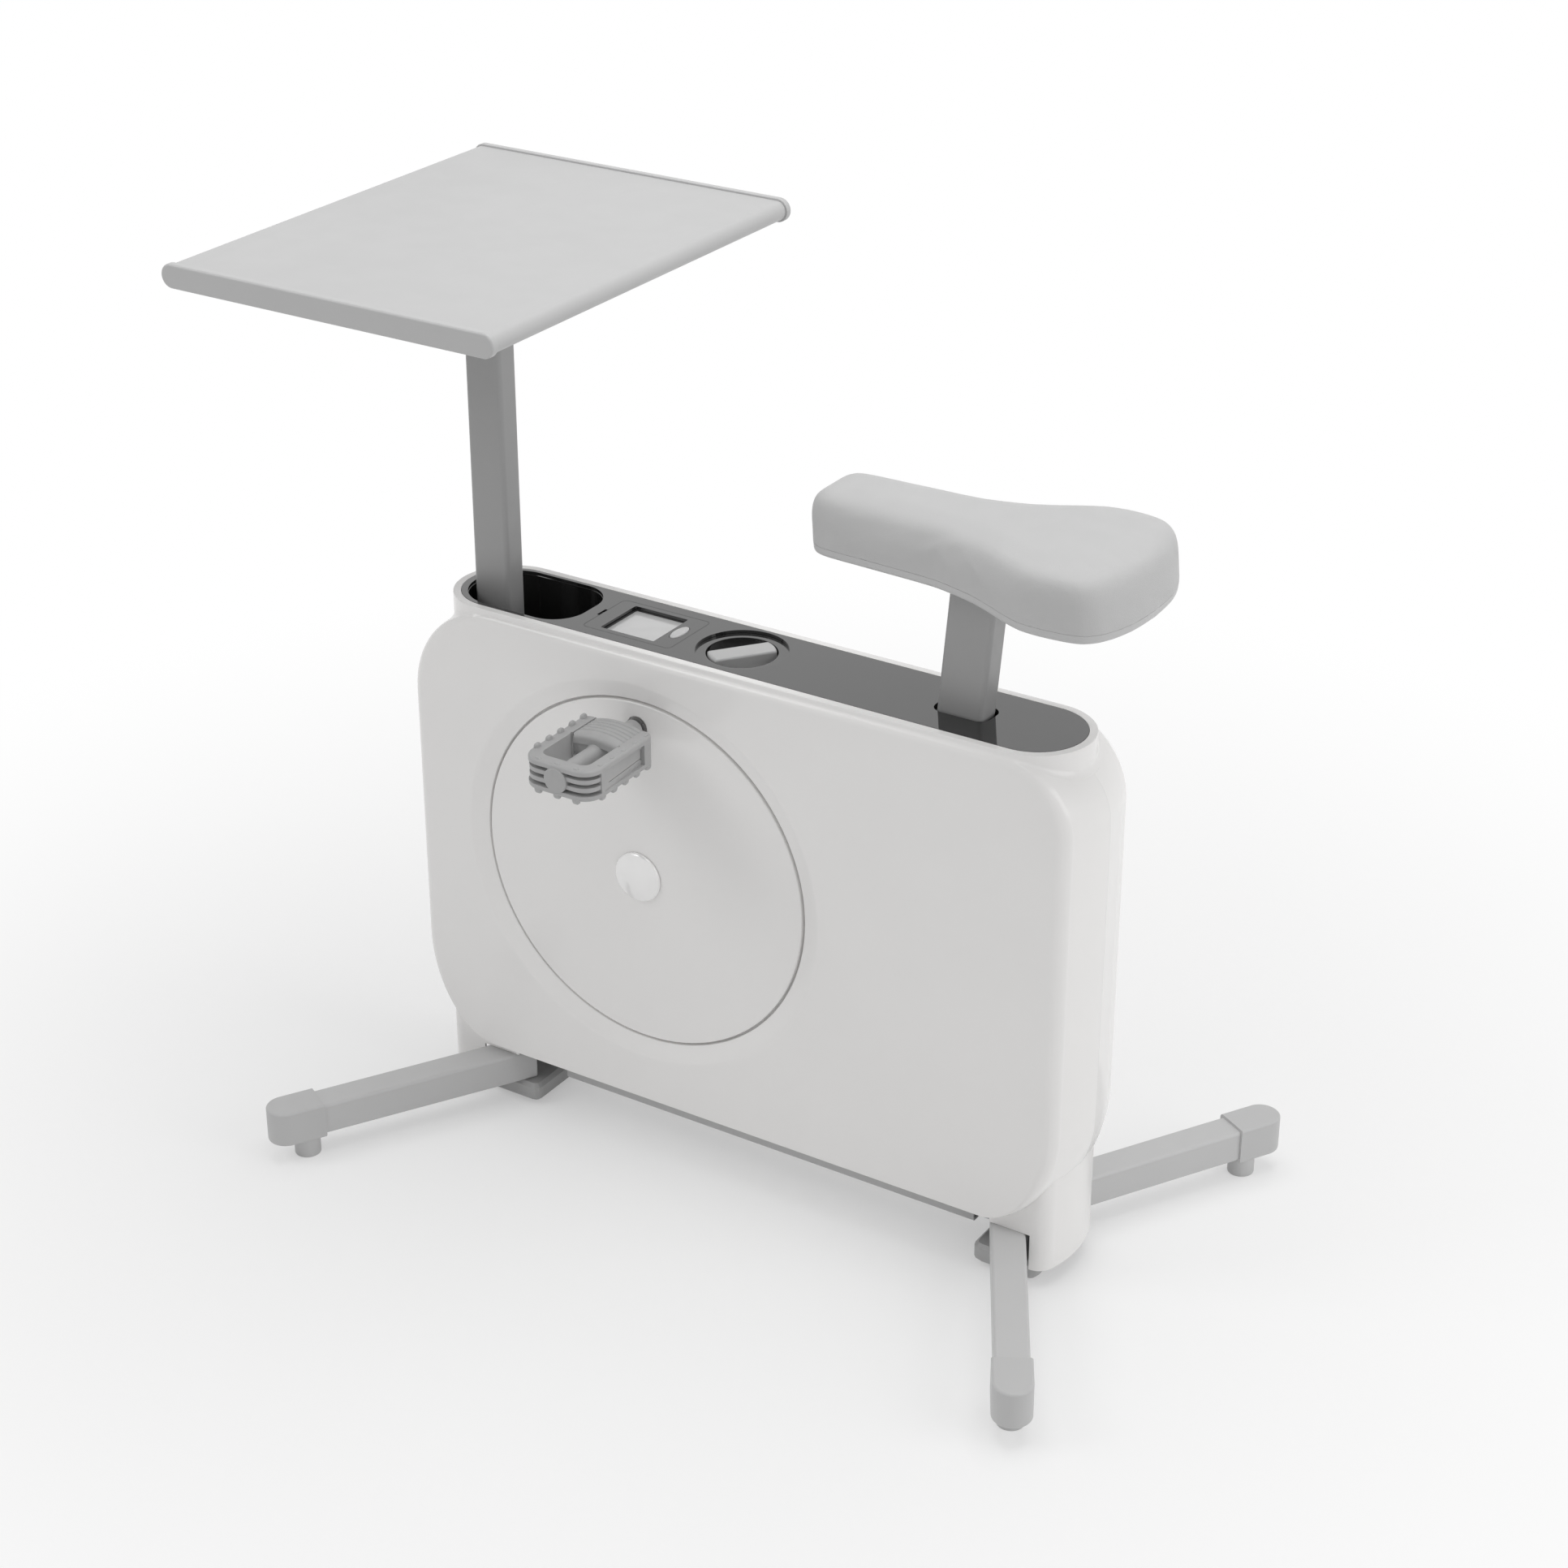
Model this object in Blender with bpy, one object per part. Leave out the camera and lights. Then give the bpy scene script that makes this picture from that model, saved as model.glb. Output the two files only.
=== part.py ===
"""Desk exercise bike: a slim pedal bike with a saddle on a leaning post and a writing desk in front.

The bike is modelled with +Z up and the floor at z = 0. The desk is at -X, the saddle at +X, and the
plane y = 0 is the middle of the body. Every piece hangs under one empty that moves the whole bike so
that the middle of its outline on the floor is the origin.
"""
import math

import bmesh
import bpy
from mathutils import Matrix, Vector

# Driving dimensions, in metres. The mid plane of the body is y = 0 and x = 0 is midway between the legs.
GAP = 0.0003            # air between neighbours that touch
RUN = 0.0004            # running clearance of a sliding or turning piece
PAST = 0.010            # how far a cutter runs past what it cuts

# How finely round shapes are cut: sides of a full turn, and steps of a half turn.
ROUND_DISC = 42
ROUND_BIG = 28
ROUND_MIDDLE = 22
ROUND_SMALL = 14
ROUND_END = 12

BODY_HALF = 0.0636      # half thickness of the body over the side covers
COVER_FRONT = -0.410
COVER_REAR = 0.378
COVER_BOTTOM = 0.072
COVER_TOP = 0.583
COVER_WALL = 0.003
COVER_BULGE = 0.005     # how far an end face bows outward in plan
COVER_PLAN_RADIUS = 0.024
COVER_SHOULDER = 0.014  # height of the soft upper edge
LOWER_CORNER = (0.092, 0.1156)   # length and height of the lower corners
UPPER_CORNER = (0.095, 0.088)    # length and height of the upper corners

DISC_RADIUS = 0.1928    # the round plate that is the crank
DISC_EDGE_Y = 0.0606
DISC_THICK = 0.0076
DISC_CENTRE_RISE = 0.003
DISC_EDGE = 0.0012      # soft edge of the rim
DISC_GAP = 0.0020       # dark ring round the plate
DISC_FLAT_RADIUS = 0.030
DISH_RADIUS = 0.216
DISH_DEPTH = 0.0026
PAN_CLEARANCE = 0.0026  # air behind the plate
CRANK_X = -0.1198
CRANK_Z = 0.3384
CRANK_RADIUS = 0.1660   # pedal axle to crank axle
CRANK_LEAN = math.radians(0.65)     # from upright to the near pedal at rest, towards the desk
AXLE_RADIUS = 0.010
AXLE_END_Y = 0.0590
HUB_BOSS_RADIUS = 0.022
HUB_CLEARANCE = 0.003   # air between the boss and the cover's hole
HUB_CAP_RADIUS = 0.0272
HUB_CAP_RISE = 0.0055

COLLAR_TOP = 0.5891
COLLAR_DEPTH = 0.0441
COLLAR_SIDE_DEPTH = 0.0286      # the same along the straight sides
COLLAR_RADIUS = 0.0595
COLLAR_WALL = 0.0025
COLLAR_EDGE = 0.0008    # soft edge of the rim
COLLAR_SIDE_STEP = 0.085     # from the collar's end to where its straight side gets shorter
DECK_RADIUS = 0.051
DECK_FRONT = -0.369
DECK_REAR = 0.345
DECK_THICK = 0.003
LEDGE_WIDTH = 0.0015    # how much of the deck the collar's ledge carries
LEDGE_THICK = 0.003

SKIRT_FRONT = -0.3926
SKIRT_REAR = 0.3641
SKIRT_HALF = 0.0537
SKIRT_RADIUS = 0.0204
SKIRT_BOW = 0.0042      # how far a skirt's end bows outward
SKIRT_WALL = 0.0025
SKIRT_BOTTOM = 0.0204
SKIRT_TOP = 0.180
SKIRT_EDGE = 0.3385     # distance of the skirts' inner edges from x = 0, beside the legs
SKIRT_INNER = 0.2925    # the same above the legs
SKIRT_WEB = 0.003

POCKET_FRONT = -0.3614
POCKET_REAR = -0.2176
POCKET_HALF = 0.0469
POCKET_REAR_RADIUS = 0.036
POCKET_WALL = 0.0016
POCKET_DEPTH = 0.085

DISPLAY_FRONT = -0.2013
DISPLAY_REAR = -0.0959
DISPLAY_HALF = 0.0374
DISPLAY_DEPTH = 0.022
DISPLAY_CORNER = 0.0057
DISPLAY_LIP = 0.003     # how far the bezel stands over the housing
WINDOW_FRONT = -0.1816
WINDOW_REAR = -0.1190
WINDOW_HALF = 0.0303
GLASS_SINK = 0.0068
GLASS_THICK = 0.0025
WINDOW_CORNER = 0.0015
NOTCH_LENGTH = 0.0152
NOTCH_WIDTH = 0.0032
BUTTON_X = -0.1085
BUTTON_LENGTH = 0.0306
BUTTON_WIDTH = 0.0128
BUTTON_RISE = 0.0020
BUTTON_DEPTH = 0.012
BUTTON_SIDES = 24
BUTTON_TRAVEL = 0.0015

KNOB_X = -0.034
KNOB_RECESS_RADIUS = 0.0469
KNOB_HOLE_RADIUS = 0.036
KNOB_RADIUS = 0.0345
KNOB_CUP_DEPTH = 0.024
KNOB_CUP_WALL = 0.002
KNOB_BAR_WIDTH = 0.024
KNOB_BAR_ANGLE = math.radians(52.5)
KNOB_BASE = 0.004
KNOB_EDGE = 0.0032      # soft edge of the bar
KNOB_SINK = 0.0008      # how far the bar's top lies under the deck's top
KNOB_STEM_RADIUS = 0.004
CAM_RADIUS = 0.014
CAM_THICK = 0.006

LEG_SPREAD_X = 0.2832   # where the legs' centre lines cross y = 0
LEG_ANGLE = math.radians(60)
LEG_TUBE = 0.035
LEG_WALL = 0.002
TUBE_CORNER = 0.003     # corner radius of the square tubes
LEG_BOTTOM = 0.0265
LEG_ROOT = 0.0290       # distance from the crossing to the root end
LEG_ROOT_PLUG = 0.006
LEG_CAP_START = 0.274
LEG_CAP_END = 0.332
LEG_CAP_WALL = 0.0025
LEG_CAP_EDGE = 0.0015   # soft edges of the cap
LEG_CAP_GRIP = 0.010    # how far the cap reaches over the tube
FOOT_ALONG = 0.2901
FOOT_RADIUS = 0.014
FOOT_STUD_RADIUS = 0.004
FOOT_STUD_LENGTH = 0.024
FOOT_EDGE = 0.0012

HUB_OUTER = 0.344
HUB_INNER = 0.271
HUB_HALF = 0.0505
HUB_BOTTOM = 0.005
PLATE_AIR = 0.004       # air between a clamp plate and the skirt round it
PLATE_INNER_END = 0.235
PLATE_THICK = 0.008
PLATE_CORNER = 0.010
HUB_EDGE = 0.004        # soft edges of the hub blocks
BEAM_END = 0.255

DESK_FRONT = -0.5294
DESK_REAR = -0.1343
DESK_HALF = 0.2485
DESK_TOP = 0.967
DESK_CAP_THICK = 0.0245
DESK_CAP_WIDTH = 0.0080
DESK_CAP_EDGE = 0.0018  # soft edges of the caps
DESK_CAP_STEP = 0.0020  # how far a cap stands proud of the board all round
DESK_POST = (0.044, 0.028)
DESK_POST_X = -0.3324
DESK_POST_BOTTOM = 0.260
DESK_SLEEVE_WALL = 0.004
DESK_HEAD = (0.130, 0.090)
DESK_HEAD_THICK = 0.006
DESK_HEAD_CORNER = 0.012
DESK_SOCKET_HEIGHT = 0.034
DESK_SOCKET_WALL = 0.004

SEAT_POST = (0.050, 0.030)
SEAT_POST_X = 0.2201    # where the post's centre line passes the deck's top
SEAT_LEAN = math.radians(5.0)
SEAT_POST_INSIDE = 0.220
SEAT_SLEEVE_WALL = 0.003
SEAT_SLOT = (0.0612, 0.0354)
SEAT_SLOT_CORNER = 0.0125
POST_CORNER = 0.005
POST_WALL = 0.0025
SLEEVE_AIR = 0.001      # air between a sleeve and the hole it passes
SLEEVE_SINK = 0.0045    # how far the seat's sleeve ends under the deck
SADDLE_TOP = 0.7922
SADDLE_BOTTOM = 0.7295
SADDLE_PAN = 0.0088
SADDLE_SOCKET = 0.004   # how far the post's head reaches into the pan
SADDLE_EDGE = 0.0243
SADDLE_DRAW = 0.10      # how steeply the sides draw in towards the bottom
SADDLE_CROWN = 0.003
SADDLE_CROWN_STEPS = ((1.12, 0.35), (1.5, 1.0))     # share of the edge's radius, share of the rise
SADDLE_TAIL_POWERS = (2.4, 1 / 2.2)     # how square the tail's outline is
SADDLE_SEAM = 0.0008    # how far the cushion draws in at its lower edge
SADDLE_PAN_EDGE = 0.0026
SADDLE_NOSE_X = 0.0608
SADDLE_TAIL_X = 0.4039
SADDLE_NOSE_RADIUS = 0.022
SADDLE_TAIL_START = 0.3658
SADDLE_TAIL_DRAW = 0.6  # how much of an inset the start of the round tail takes
SADDLE_WIDTHS = (0.0432, 0.0466, 0.0482, 0.0505, 0.0537, 0.0673, 0.0856, 0.0984, 0.0966)
CLAMP_PLATE = (0.110, 0.044)
CLAMP_THICK = 0.004
CLAMP_CORNER = 0.008

FRAME_PLATE_THICK = 0.004
FRAME_PLATE_REACH = 0.064       # height of the side plates over and under the axles
FRAME_PLATE_TAPER = 0.030       # where their edges slope, from the flywheel's axle
FRAME_PLATE_END = 0.012         # from the plates' rear end to the seat post's line
PLATE_HOLE_RADIUS = 0.030       # lightening holes in the side plates
BEARING_RADIUS = 0.021
BEARING_WIDTH = 0.010
BEARING_LIP = 0.003
PULLEY_RADIUS = 0.085
PULLEY_HALF = 0.0070
PULLEY_Y = -0.0100
PULLEY_FLANGE = 0.003
PULLEY_RIM = 0.008
PULLEY_WEB = 0.004
FLYWHEEL_X = 0.050
FLYWHEEL_Z = 0.300
FLYWHEEL_RADIUS = 0.105
FLYWHEEL_PULLEY_RADIUS = 0.0212
FLYWHEEL_AXLE_RADIUS = 0.006
FLYWHEEL_RIM = 0.022
FLYWHEEL_WEB = 0.005
AXLE_HEAD = 0.004       # head of the flywheel's axle outside the side plate
FLYWHEEL_Y = (0.0015, 0.0165)
BELT_THICK = 0.002
BRAKE_GAP = 0.009
BRAKE_THICK = 0.008
BRAKE_START = math.radians(30)
BRAKE_END = math.radians(116)
BRAKE_TAB = (0.032, 0.005)      # length and thickness of the cam's tab
BRAKE_EYE_RADIUS = 0.0085

PEDAL_HALF = 0.0416     # half width across the axle
PEDAL_HEIGHT = 0.033
PEDAL_INNER_Y = 0.0870
PEDAL_OUTER_Y = 0.1969
PEDAL_OUTER_RADIUS = 0.0195
PEDAL_INNER_RADIUS = 0.004
PEDAL_RAIL = 0.0135
PEDAL_BLOCK_DEPTH = 0.0440
PEDAL_BLOCK_EDGE = 0.006    # rounding of the block's outer lip
PEDAL_BLOCK_SINK = 0.0010   # how far the block's sides lie under the rails' tops
PEDAL_BLOCK_STEPS = 4
PEDAL_CROWN = 0.0048        # how far the block's faces arch over the axle
PEDAL_LIP = 0.0045          # how far the lip stands out over the recess under it
PEDAL_RECESS = 0.0060       # half height of that recess at the rails
PEDAL_RECESS_CROWN = 0.0030 # what it gains over the axle
PEDAL_GROOVES = 5
PEDAL_GROOVE_WIDTH = 0.0016
PEDAL_GROOVE_DEPTH = 0.0009
PEDAL_RING = 0.0056         # height of the rings above and below the slots
PEDAL_SLOTS = 3
PEDAL_SLOT_DEPTH = 0.0048
PEDAL_PANEL_START = 0.0180  # from the pedal's inner end to its side panel
PEDAL_PANEL_DEPTH = 0.0040  # depth of the side panel at its inner end
PEDAL_BARREL_RADIUS = 0.0108
PEDAL_BARREL_END_Y = 0.0645
PEDAL_END_RADIUS = 0.0137
PEDAL_END_SINK = 0.0006     # how far the round boss lies behind the outer end's rings
PEDAL_TUBE_RADII = (0.0100, 0.0135)     # at the waist and at both ends
PEDAL_BORE_END = 0.004
PEDAL_TEETH = 5
PEDAL_TOOTH = (0.0095, 0.0040)      # length and width of a tooth's foot
PEDAL_TOOTH_TIP = 0.6       # share of the foot that is left at the tip
PEDAL_TOOTH_RISE = 0.0028
PEDAL_END_PITCH = 0.023     # spacing of the teeth on the outer end
SPINDLE_RADIUS = 0.0065
SPINDLE_COLLAR = (0.0105, 0.003)        # radius and height of the collar in the crank's socket
SOCKET_RADIUS = 0.0124
SOCKET_DEPTH = 0.004

# Sizes that follow from the driving dimensions.
DECK_BOTTOM = COLLAR_TOP - DECK_THICK
COLLAR_BOTTOM = COLLAR_TOP - COLLAR_DEPTH
LEG_TOP = LEG_BOTTOM + LEG_TUBE
PLATE_TOP = LEG_TOP + GAP + PLATE_THICK
PAN_FLOOR_Y = DISC_EDGE_Y - DISC_THICK - PAN_CLEARANCE
PAN_RADIUS = DISC_RADIUS + DISC_GAP
FRAME_PLATE_Y = SEAT_POST[1] / 2 + RUN + SEAT_SLEEVE_WALL + GAP
COLLAR_FRONT = DECK_FRONT - (COLLAR_RADIUS - DECK_RADIUS)
COLLAR_REAR = DECK_REAR + (COLLAR_RADIUS - DECK_RADIUS)
POCKET_FLOOR = COLLAR_TOP - POCKET_DEPTH
BRAKE_RADIUS = FLYWHEEL_RADIUS + BRAKE_GAP + BRAKE_THICK / 2
LEG_CAP_HALF = LEG_TUBE / 2 + LEG_CAP_WALL
LEG_REACH = LEG_SPREAD_X + (LEG_CAP_END - LEG_CAP_HALF) * math.cos(LEG_ANGLE) + LEG_CAP_HALF
OUTLINE_MIDDLE = (DESK_FRONT + LEG_REACH) / 2


def clear_scene():
    for old in list(bpy.data.objects):
        bpy.data.objects.remove(old, do_unlink=True)


def make_material(name, colour, roughness, metallic=0.0):
    """A Principled material in one colour."""
    material = bpy.data.materials.new(name)
    material.use_nodes = True
    shader = material.node_tree.nodes["Principled BSDF"]
    shader.inputs["Base Color"].default_value = (*colour, 1.0)
    shader.inputs["Roughness"].default_value = roughness
    shader.inputs["Metallic"].default_value = metallic
    return material


def make_empty(name, place, parent=None):
    """An empty on a joint's axis. Its place is in the bike's own coordinates."""
    empty = bpy.data.objects.new(name, None)
    bpy.context.collection.objects.link(empty)
    empty.parent = parent
    empty.location = place
    return empty


def add_object(name, bm, material, parent, smooth=True):
    """Turns a bmesh in the bike's coordinates into an object that rides under an empty."""
    bmesh.ops.remove_doubles(bm, verts=bm.verts, dist=1e-6)
    bmesh.ops.connect_verts_nonplanar(bm, angle_limit=math.radians(0.1), faces=bm.faces)
    bmesh.ops.recalc_face_normals(bm, faces=bm.faces)
    mesh = bpy.data.meshes.new(name)
    bm.to_mesh(mesh)
    bm.free()
    if smooth:
        mesh.shade_smooth()
        mesh.set_sharp_from_angle(angle=math.radians(35))
    obj = bpy.data.objects.new(name, mesh)
    bpy.context.collection.objects.link(obj)
    obj.parent = parent
    if parent.parent:
        obj.matrix_parent_inverse = Matrix.Translation(parent.location).inverted()
    if material:
        mesh.materials.append(material)
    return obj


def cut(obj, bm, operation="DIFFERENCE"):
    """Cuts a bmesh out of an object, or joins it on, with a live Boolean."""
    cutter = add_object(obj.name + "_cutter", bm, None, bpy.data.objects["bike"], smooth=False)
    cutter.hide_render = True
    cutter.display_type = "WIRE"
    cutter.hide_set(True)
    step = obj.modifiers.new(operation.lower(), "BOOLEAN")
    step.operation = operation
    step.solver = "EXACT"
    step.object = cutter
    return step


def soften(obj, width, segments=2, angle=40):
    """A live bevel on the sharp edges."""
    step = obj.modifiers.new("edge", "BEVEL")
    step.width = width
    step.segments = segments
    step.limit_method = "ANGLE"
    step.angle_limit = math.radians(angle)
    return step


def arc(centre, radii, start, end, steps):
    """Points of an elliptical arc; radii may be one number."""
    radius_u, radius_v = radii if isinstance(radii, tuple) else (radii, radii)
    points = []
    for step in range(steps + 1):
        angle = start + (end - start) * step / steps
        points.append((centre[0] + radius_u * math.cos(angle), centre[1] + radius_v * math.sin(angle)))
    return points


def rounded_box(low, high, radii, steps=4):
    """A rectangle's outline with its own radius at each corner, from low u, low v round to low u, high v."""
    if not isinstance(radii, tuple):
        radii = (radii,) * 4
    corners = ((low[0], low[1]), (high[0], low[1]), (high[0], high[1]), (low[0], high[1]))
    inward = ((1, 1), (-1, 1), (-1, -1), (1, -1))
    points = []
    for index, (corner, side, radius) in enumerate(zip(corners, inward, radii)):
        centre = (corner[0] + side[0] * radius, corner[1] + side[1] * radius)
        start = math.pi + index * math.pi / 2
        points += arc(centre, radius, start, start + math.pi / 2, steps)
    return points


def stadium(front, rear, radius, steps=16):
    """A long outline with two round ends."""
    ends = arc((rear - radius, 0), radius, -math.pi / 2, math.pi / 2, steps)
    return ends + arc((front + radius, 0), radius, math.pi / 2, math.pi * 3 / 2, steps)


def circle(centre, radius, steps=48):
    return arc(centre, radius, 0, 2 * math.pi * (steps - 1) / steps, steps - 1)


def prism(outline, low, high, axis="z"):
    """A solid between two planes across an axis. The outline gives x, y for z and x, z for y."""
    bm = bmesh.new()
    rings = []
    for level in (low, high):
        if axis == "z":
            ring = [bm.verts.new((u, v, level)) for u, v in outline]
        elif axis == "y":
            ring = [bm.verts.new((u, level, v)) for u, v in outline]
        else:
            ring = [bm.verts.new((level, u, v)) for u, v in outline]
        rings.append(ring)
    bridge(bm, rings)
    return bm


def bridge(bm, rings, closed=True):
    """Faces between neighbouring rings of equal count, with both ends filled."""
    for ring, following in zip(rings, rings[1:]):
        for index in range(len(ring)):
            after = (index + 1) % len(ring)
            bm.faces.new((ring[index], ring[after], following[after], following[index]))
    if closed:
        bm.faces.new(rings[0])
        bm.faces.new(rings[-1])


def turned(profile, centre, axis="y", steps=48, sign=1):
    """A body of revolution about an axis through the centre. The profile gives radius, height."""
    bm = bmesh.new()
    rings = []
    for radius, height in profile:
        if radius < 1e-7:
            rings.append([bm.verts.new(axis_point(centre, 0, 0, height * sign, axis))])
            continue
        ring = []
        for step in range(steps):
            angle = 2 * math.pi * step / steps
            across, up = radius * math.cos(angle), radius * math.sin(angle)
            point = axis_point(centre, across, up, height * sign, axis)
            ring.append(bm.verts.new(point))
        rings.append(ring)
    closed = profile[0][0] > 1e-7
    pairs = list(zip(rings, rings[1:]))
    if closed:
        pairs.append((rings[-1], rings[0]))
    for ring, following in pairs:
        join_rings(bm, ring, following, steps)
    return bm


def axis_point(centre, u, v, height, axis):
    if axis == "y":
        return (centre[0] + u, height, centre[1] + v)
    return (centre[0] + u, centre[1] + v, height)


def join_rings(bm, ring, following, steps):
    for index in range(steps):
        after = (index + 1) % steps
        if len(ring) == 1 and len(following) == 1:
            return
        if len(ring) == 1:
            bm.faces.new((ring[0], following[after], following[index]))
        elif len(following) == 1:
            bm.faces.new((ring[index], ring[after], following[0]))
        else:
            bm.faces.new((ring[index], ring[after], following[after], following[index]))


def box(low, high):
    bm = bmesh.new()
    bmesh.ops.create_cube(bm, size=1.0)
    size = [b - a for a, b in zip(low, high)]
    middle = [(a + b) / 2 for a, b in zip(low, high)]
    bmesh.ops.scale(bm, vec=size, verts=bm.verts)
    bmesh.ops.translate(bm, vec=middle, verts=bm.verts)
    return bm


def moved(bm, matrix):
    bmesh.ops.transform(bm, matrix=matrix, verts=bm.verts)
    return bm


def joined(*parts):
    """Several bmeshes in one, for a cutter made of separate solids."""
    whole = bmesh.new()
    for bm in parts:
        mesh = bpy.data.meshes.new("part")
        bm.to_mesh(mesh)
        bm.free()
        whole.from_mesh(mesh)
        bpy.data.meshes.remove(mesh)
    return whole


def cover_ring(depth, inset, steps):
    """The side cover's outline in x, z at a distance from the mid plane, or that of its inner wall."""
    half = BODY_HALF - inset
    bow = COVER_BULGE * (depth / half) ** 2
    into_corner = max(0.0, depth - (half - COVER_PLAN_RADIUS))
    plan = COVER_PLAN_RADIUS - math.sqrt(max(COVER_PLAN_RADIUS ** 2 - into_corner ** 2, 0.0))
    shoulder_depth = half - COLLAR_RADIUS + inset * 2
    into_shoulder = min(max(0.0, (depth - (half - shoulder_depth)) / shoulder_depth), 1.0)
    shoulder = COVER_SHOULDER * (1 - math.sqrt(1 - into_shoulder ** 2))
    front = COVER_FRONT + inset
    rear = COVER_REAR - inset
    drawn = bow + plan
    bottom = COVER_BOTTOM + inset
    top = COVER_TOP - inset
    lower = (LOWER_CORNER[0] - inset, LOWER_CORNER[1] - inset)
    upper = (UPPER_CORNER[0] - inset, UPPER_CORNER[1] - inset)
    turn = math.acos(1 - drawn / lower[0])
    points = arc((rear - lower[0], bottom + lower[1]), lower, -math.pi / 2, -turn, steps)
    for x, z in arc((rear - upper[0], top - upper[1]), upper, 0, math.pi / 2, steps):
        lean = (z - top + upper[1]) / upper[1]
        points.append((x - drawn * math.sqrt(max(1 - lean ** 2, 0.0)), z - shoulder * lean))
    for x, z in arc((front + upper[0], top - upper[1]), upper, math.pi / 2, math.pi, steps):
        lean = (z - top + upper[1]) / upper[1]
        points.append((x + drawn * math.sqrt(max(1 - lean ** 2, 0.0)), z - shoulder * lean))
    return points + arc((front + lower[0], bottom + lower[1]), lower, math.pi + turn, math.pi * 3 / 2, steps)


def cover_solid(side, inset, steps, depths):
    """The cover's full outer form, or the form of the space inside it."""
    bm = bmesh.new()
    rings = []
    for depth in depths:
        outline = cover_ring(max(depth, 0.0), inset, steps)
        rings.append([bm.verts.new((x, side * depth, z)) for x, z in outline])
    bridge(bm, rings)
    return bm


def make_cover(name, side, material, parent):
    """One moulded side cover: a shell with a dished round pan for the crank plate."""
    knee = BODY_HALF - COVER_PLAN_RADIUS
    swings = [math.radians(angle) for angle in (24, 46, 68, 90)]
    depths = [GAP / 2, knee] + [knee + COVER_PLAN_RADIUS * math.sin(swing) for swing in swings]
    cover = add_object(name, cover_solid(side, 0.0, 6, depths), material, parent)
    inner_knee = knee - COVER_WALL
    inner = [-COVER_WALL, inner_knee]
    inner += [inner_knee + COVER_PLAN_RADIUS * math.sin(swing) for swing in swings[1::2]]
    cut(cover, cover_solid(side, COVER_WALL, 4, inner))
    high = COLLAR_TOP + COVER_WALL
    collar = stadium(COLLAR_FRONT - GAP, COLLAR_REAR + GAP, COLLAR_RADIUS + GAP, ROUND_END)
    cut(cover, joined(
        prism(collar, COLLAR_BOTTOM - COVER_WALL, high),
        prism(skirt_outline("front", RUN), SKIRT_BOTTOM, SKIRT_TOP + COVER_WALL),
        prism(skirt_outline("rear", RUN), SKIRT_BOTTOM, SKIRT_TOP + COVER_WALL)))
    cut(cover, joined(sleeve_clearance(), seat_clearance()))
    centre = (CRANK_X, CRANK_Z)
    shoulder = DISC_EDGE_Y - 2 * DISH_DEPTH
    hole = HUB_BOSS_RADIUS + HUB_CLEARANCE
    pan = [(hole, PAN_FLOOR_Y - COVER_WALL), (PAN_RADIUS + COVER_WALL, PAN_FLOOR_Y - COVER_WALL),
           (PAN_RADIUS + COVER_WALL, shoulder), (DISH_RADIUS, BODY_HALF - COVER_WALL - GAP),
           (DISH_RADIUS, BODY_HALF - 2 * GAP), (hole, BODY_HALF - 2 * GAP)]
    cut(cover, turned(pan, centre, steps=ROUND_DISC, sign=side), "UNION")
    cut(cover, turned(dish_profile(), centre, steps=ROUND_DISC, sign=side))
    return cover


def dish_profile():
    """Radius and height of the space that the crank plate turns in, with the soft dish round it."""
    points = [(0, PAN_FLOOR_Y), (PAN_RADIUS, PAN_FLOOR_Y), (PAN_RADIUS, BODY_HALF - DISH_DEPTH)]
    steps = 2
    for step in range(1, steps + 1):
        share = step / steps
        rise = DISH_DEPTH * (1 - math.cos(share * math.pi)) / 2
        points.append((PAN_RADIUS + (DISH_RADIUS - PAN_RADIUS) * share, BODY_HALF - DISH_DEPTH + rise))
    high = BODY_HALF + COVER_WALL
    return points + [(DISH_RADIUS + GAP, high), (0, high)]


def skirt_outline(end, spare=0.0, edge=SKIRT_INNER):
    """Plan of a skirt: round corners and an end that bows, with the open side towards the middle."""
    corner = SKIRT_RADIUS + spare
    half = SKIRT_HALF + spare
    flat = half - corner
    lean = math.atan(2 * SKIRT_BOW / flat)
    bulge = SKIRT_BOW * (1 + corner * math.sin(lean) / flat) ** 2
    tip = skirt_tip(end) + spare
    centre = tip - bulge - corner * math.cos(lean)
    bow = [(tip - SKIRT_BOW * share ** 2, share * flat) for share in (-0.6, 0.0, 0.6)]
    points = [(edge, -half)] + arc((centre, -flat), corner, -math.pi / 2, -lean, 5)
    points += bow + arc((centre, flat), corner, lean, math.pi / 2, 5) + [(edge, half)]
    sign = 1 if end == "rear" else -1
    return [(sign * x, y) for x, y in points]


def skirt_tip(end):
    """Distance of a skirt's end from x = 0."""
    return SKIRT_REAR if end == "rear" else -SKIRT_FRONT


def sleeve_clearance():
    """The hole in the body's floor for the desk post's sleeve."""
    half_x = DESK_POST[0] / 2 + RUN + DESK_SLEEVE_WALL + SLEEVE_AIR
    half_y = DESK_POST[1] / 2 + RUN + DESK_SLEEVE_WALL + SLEEVE_AIR
    low = (DESK_POST_X - half_x, -half_y, COVER_BOTTOM - COVER_WALL)
    return box(low, (DESK_POST_X + half_x, half_y, COVER_BOTTOM + 5 * COVER_WALL))


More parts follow.
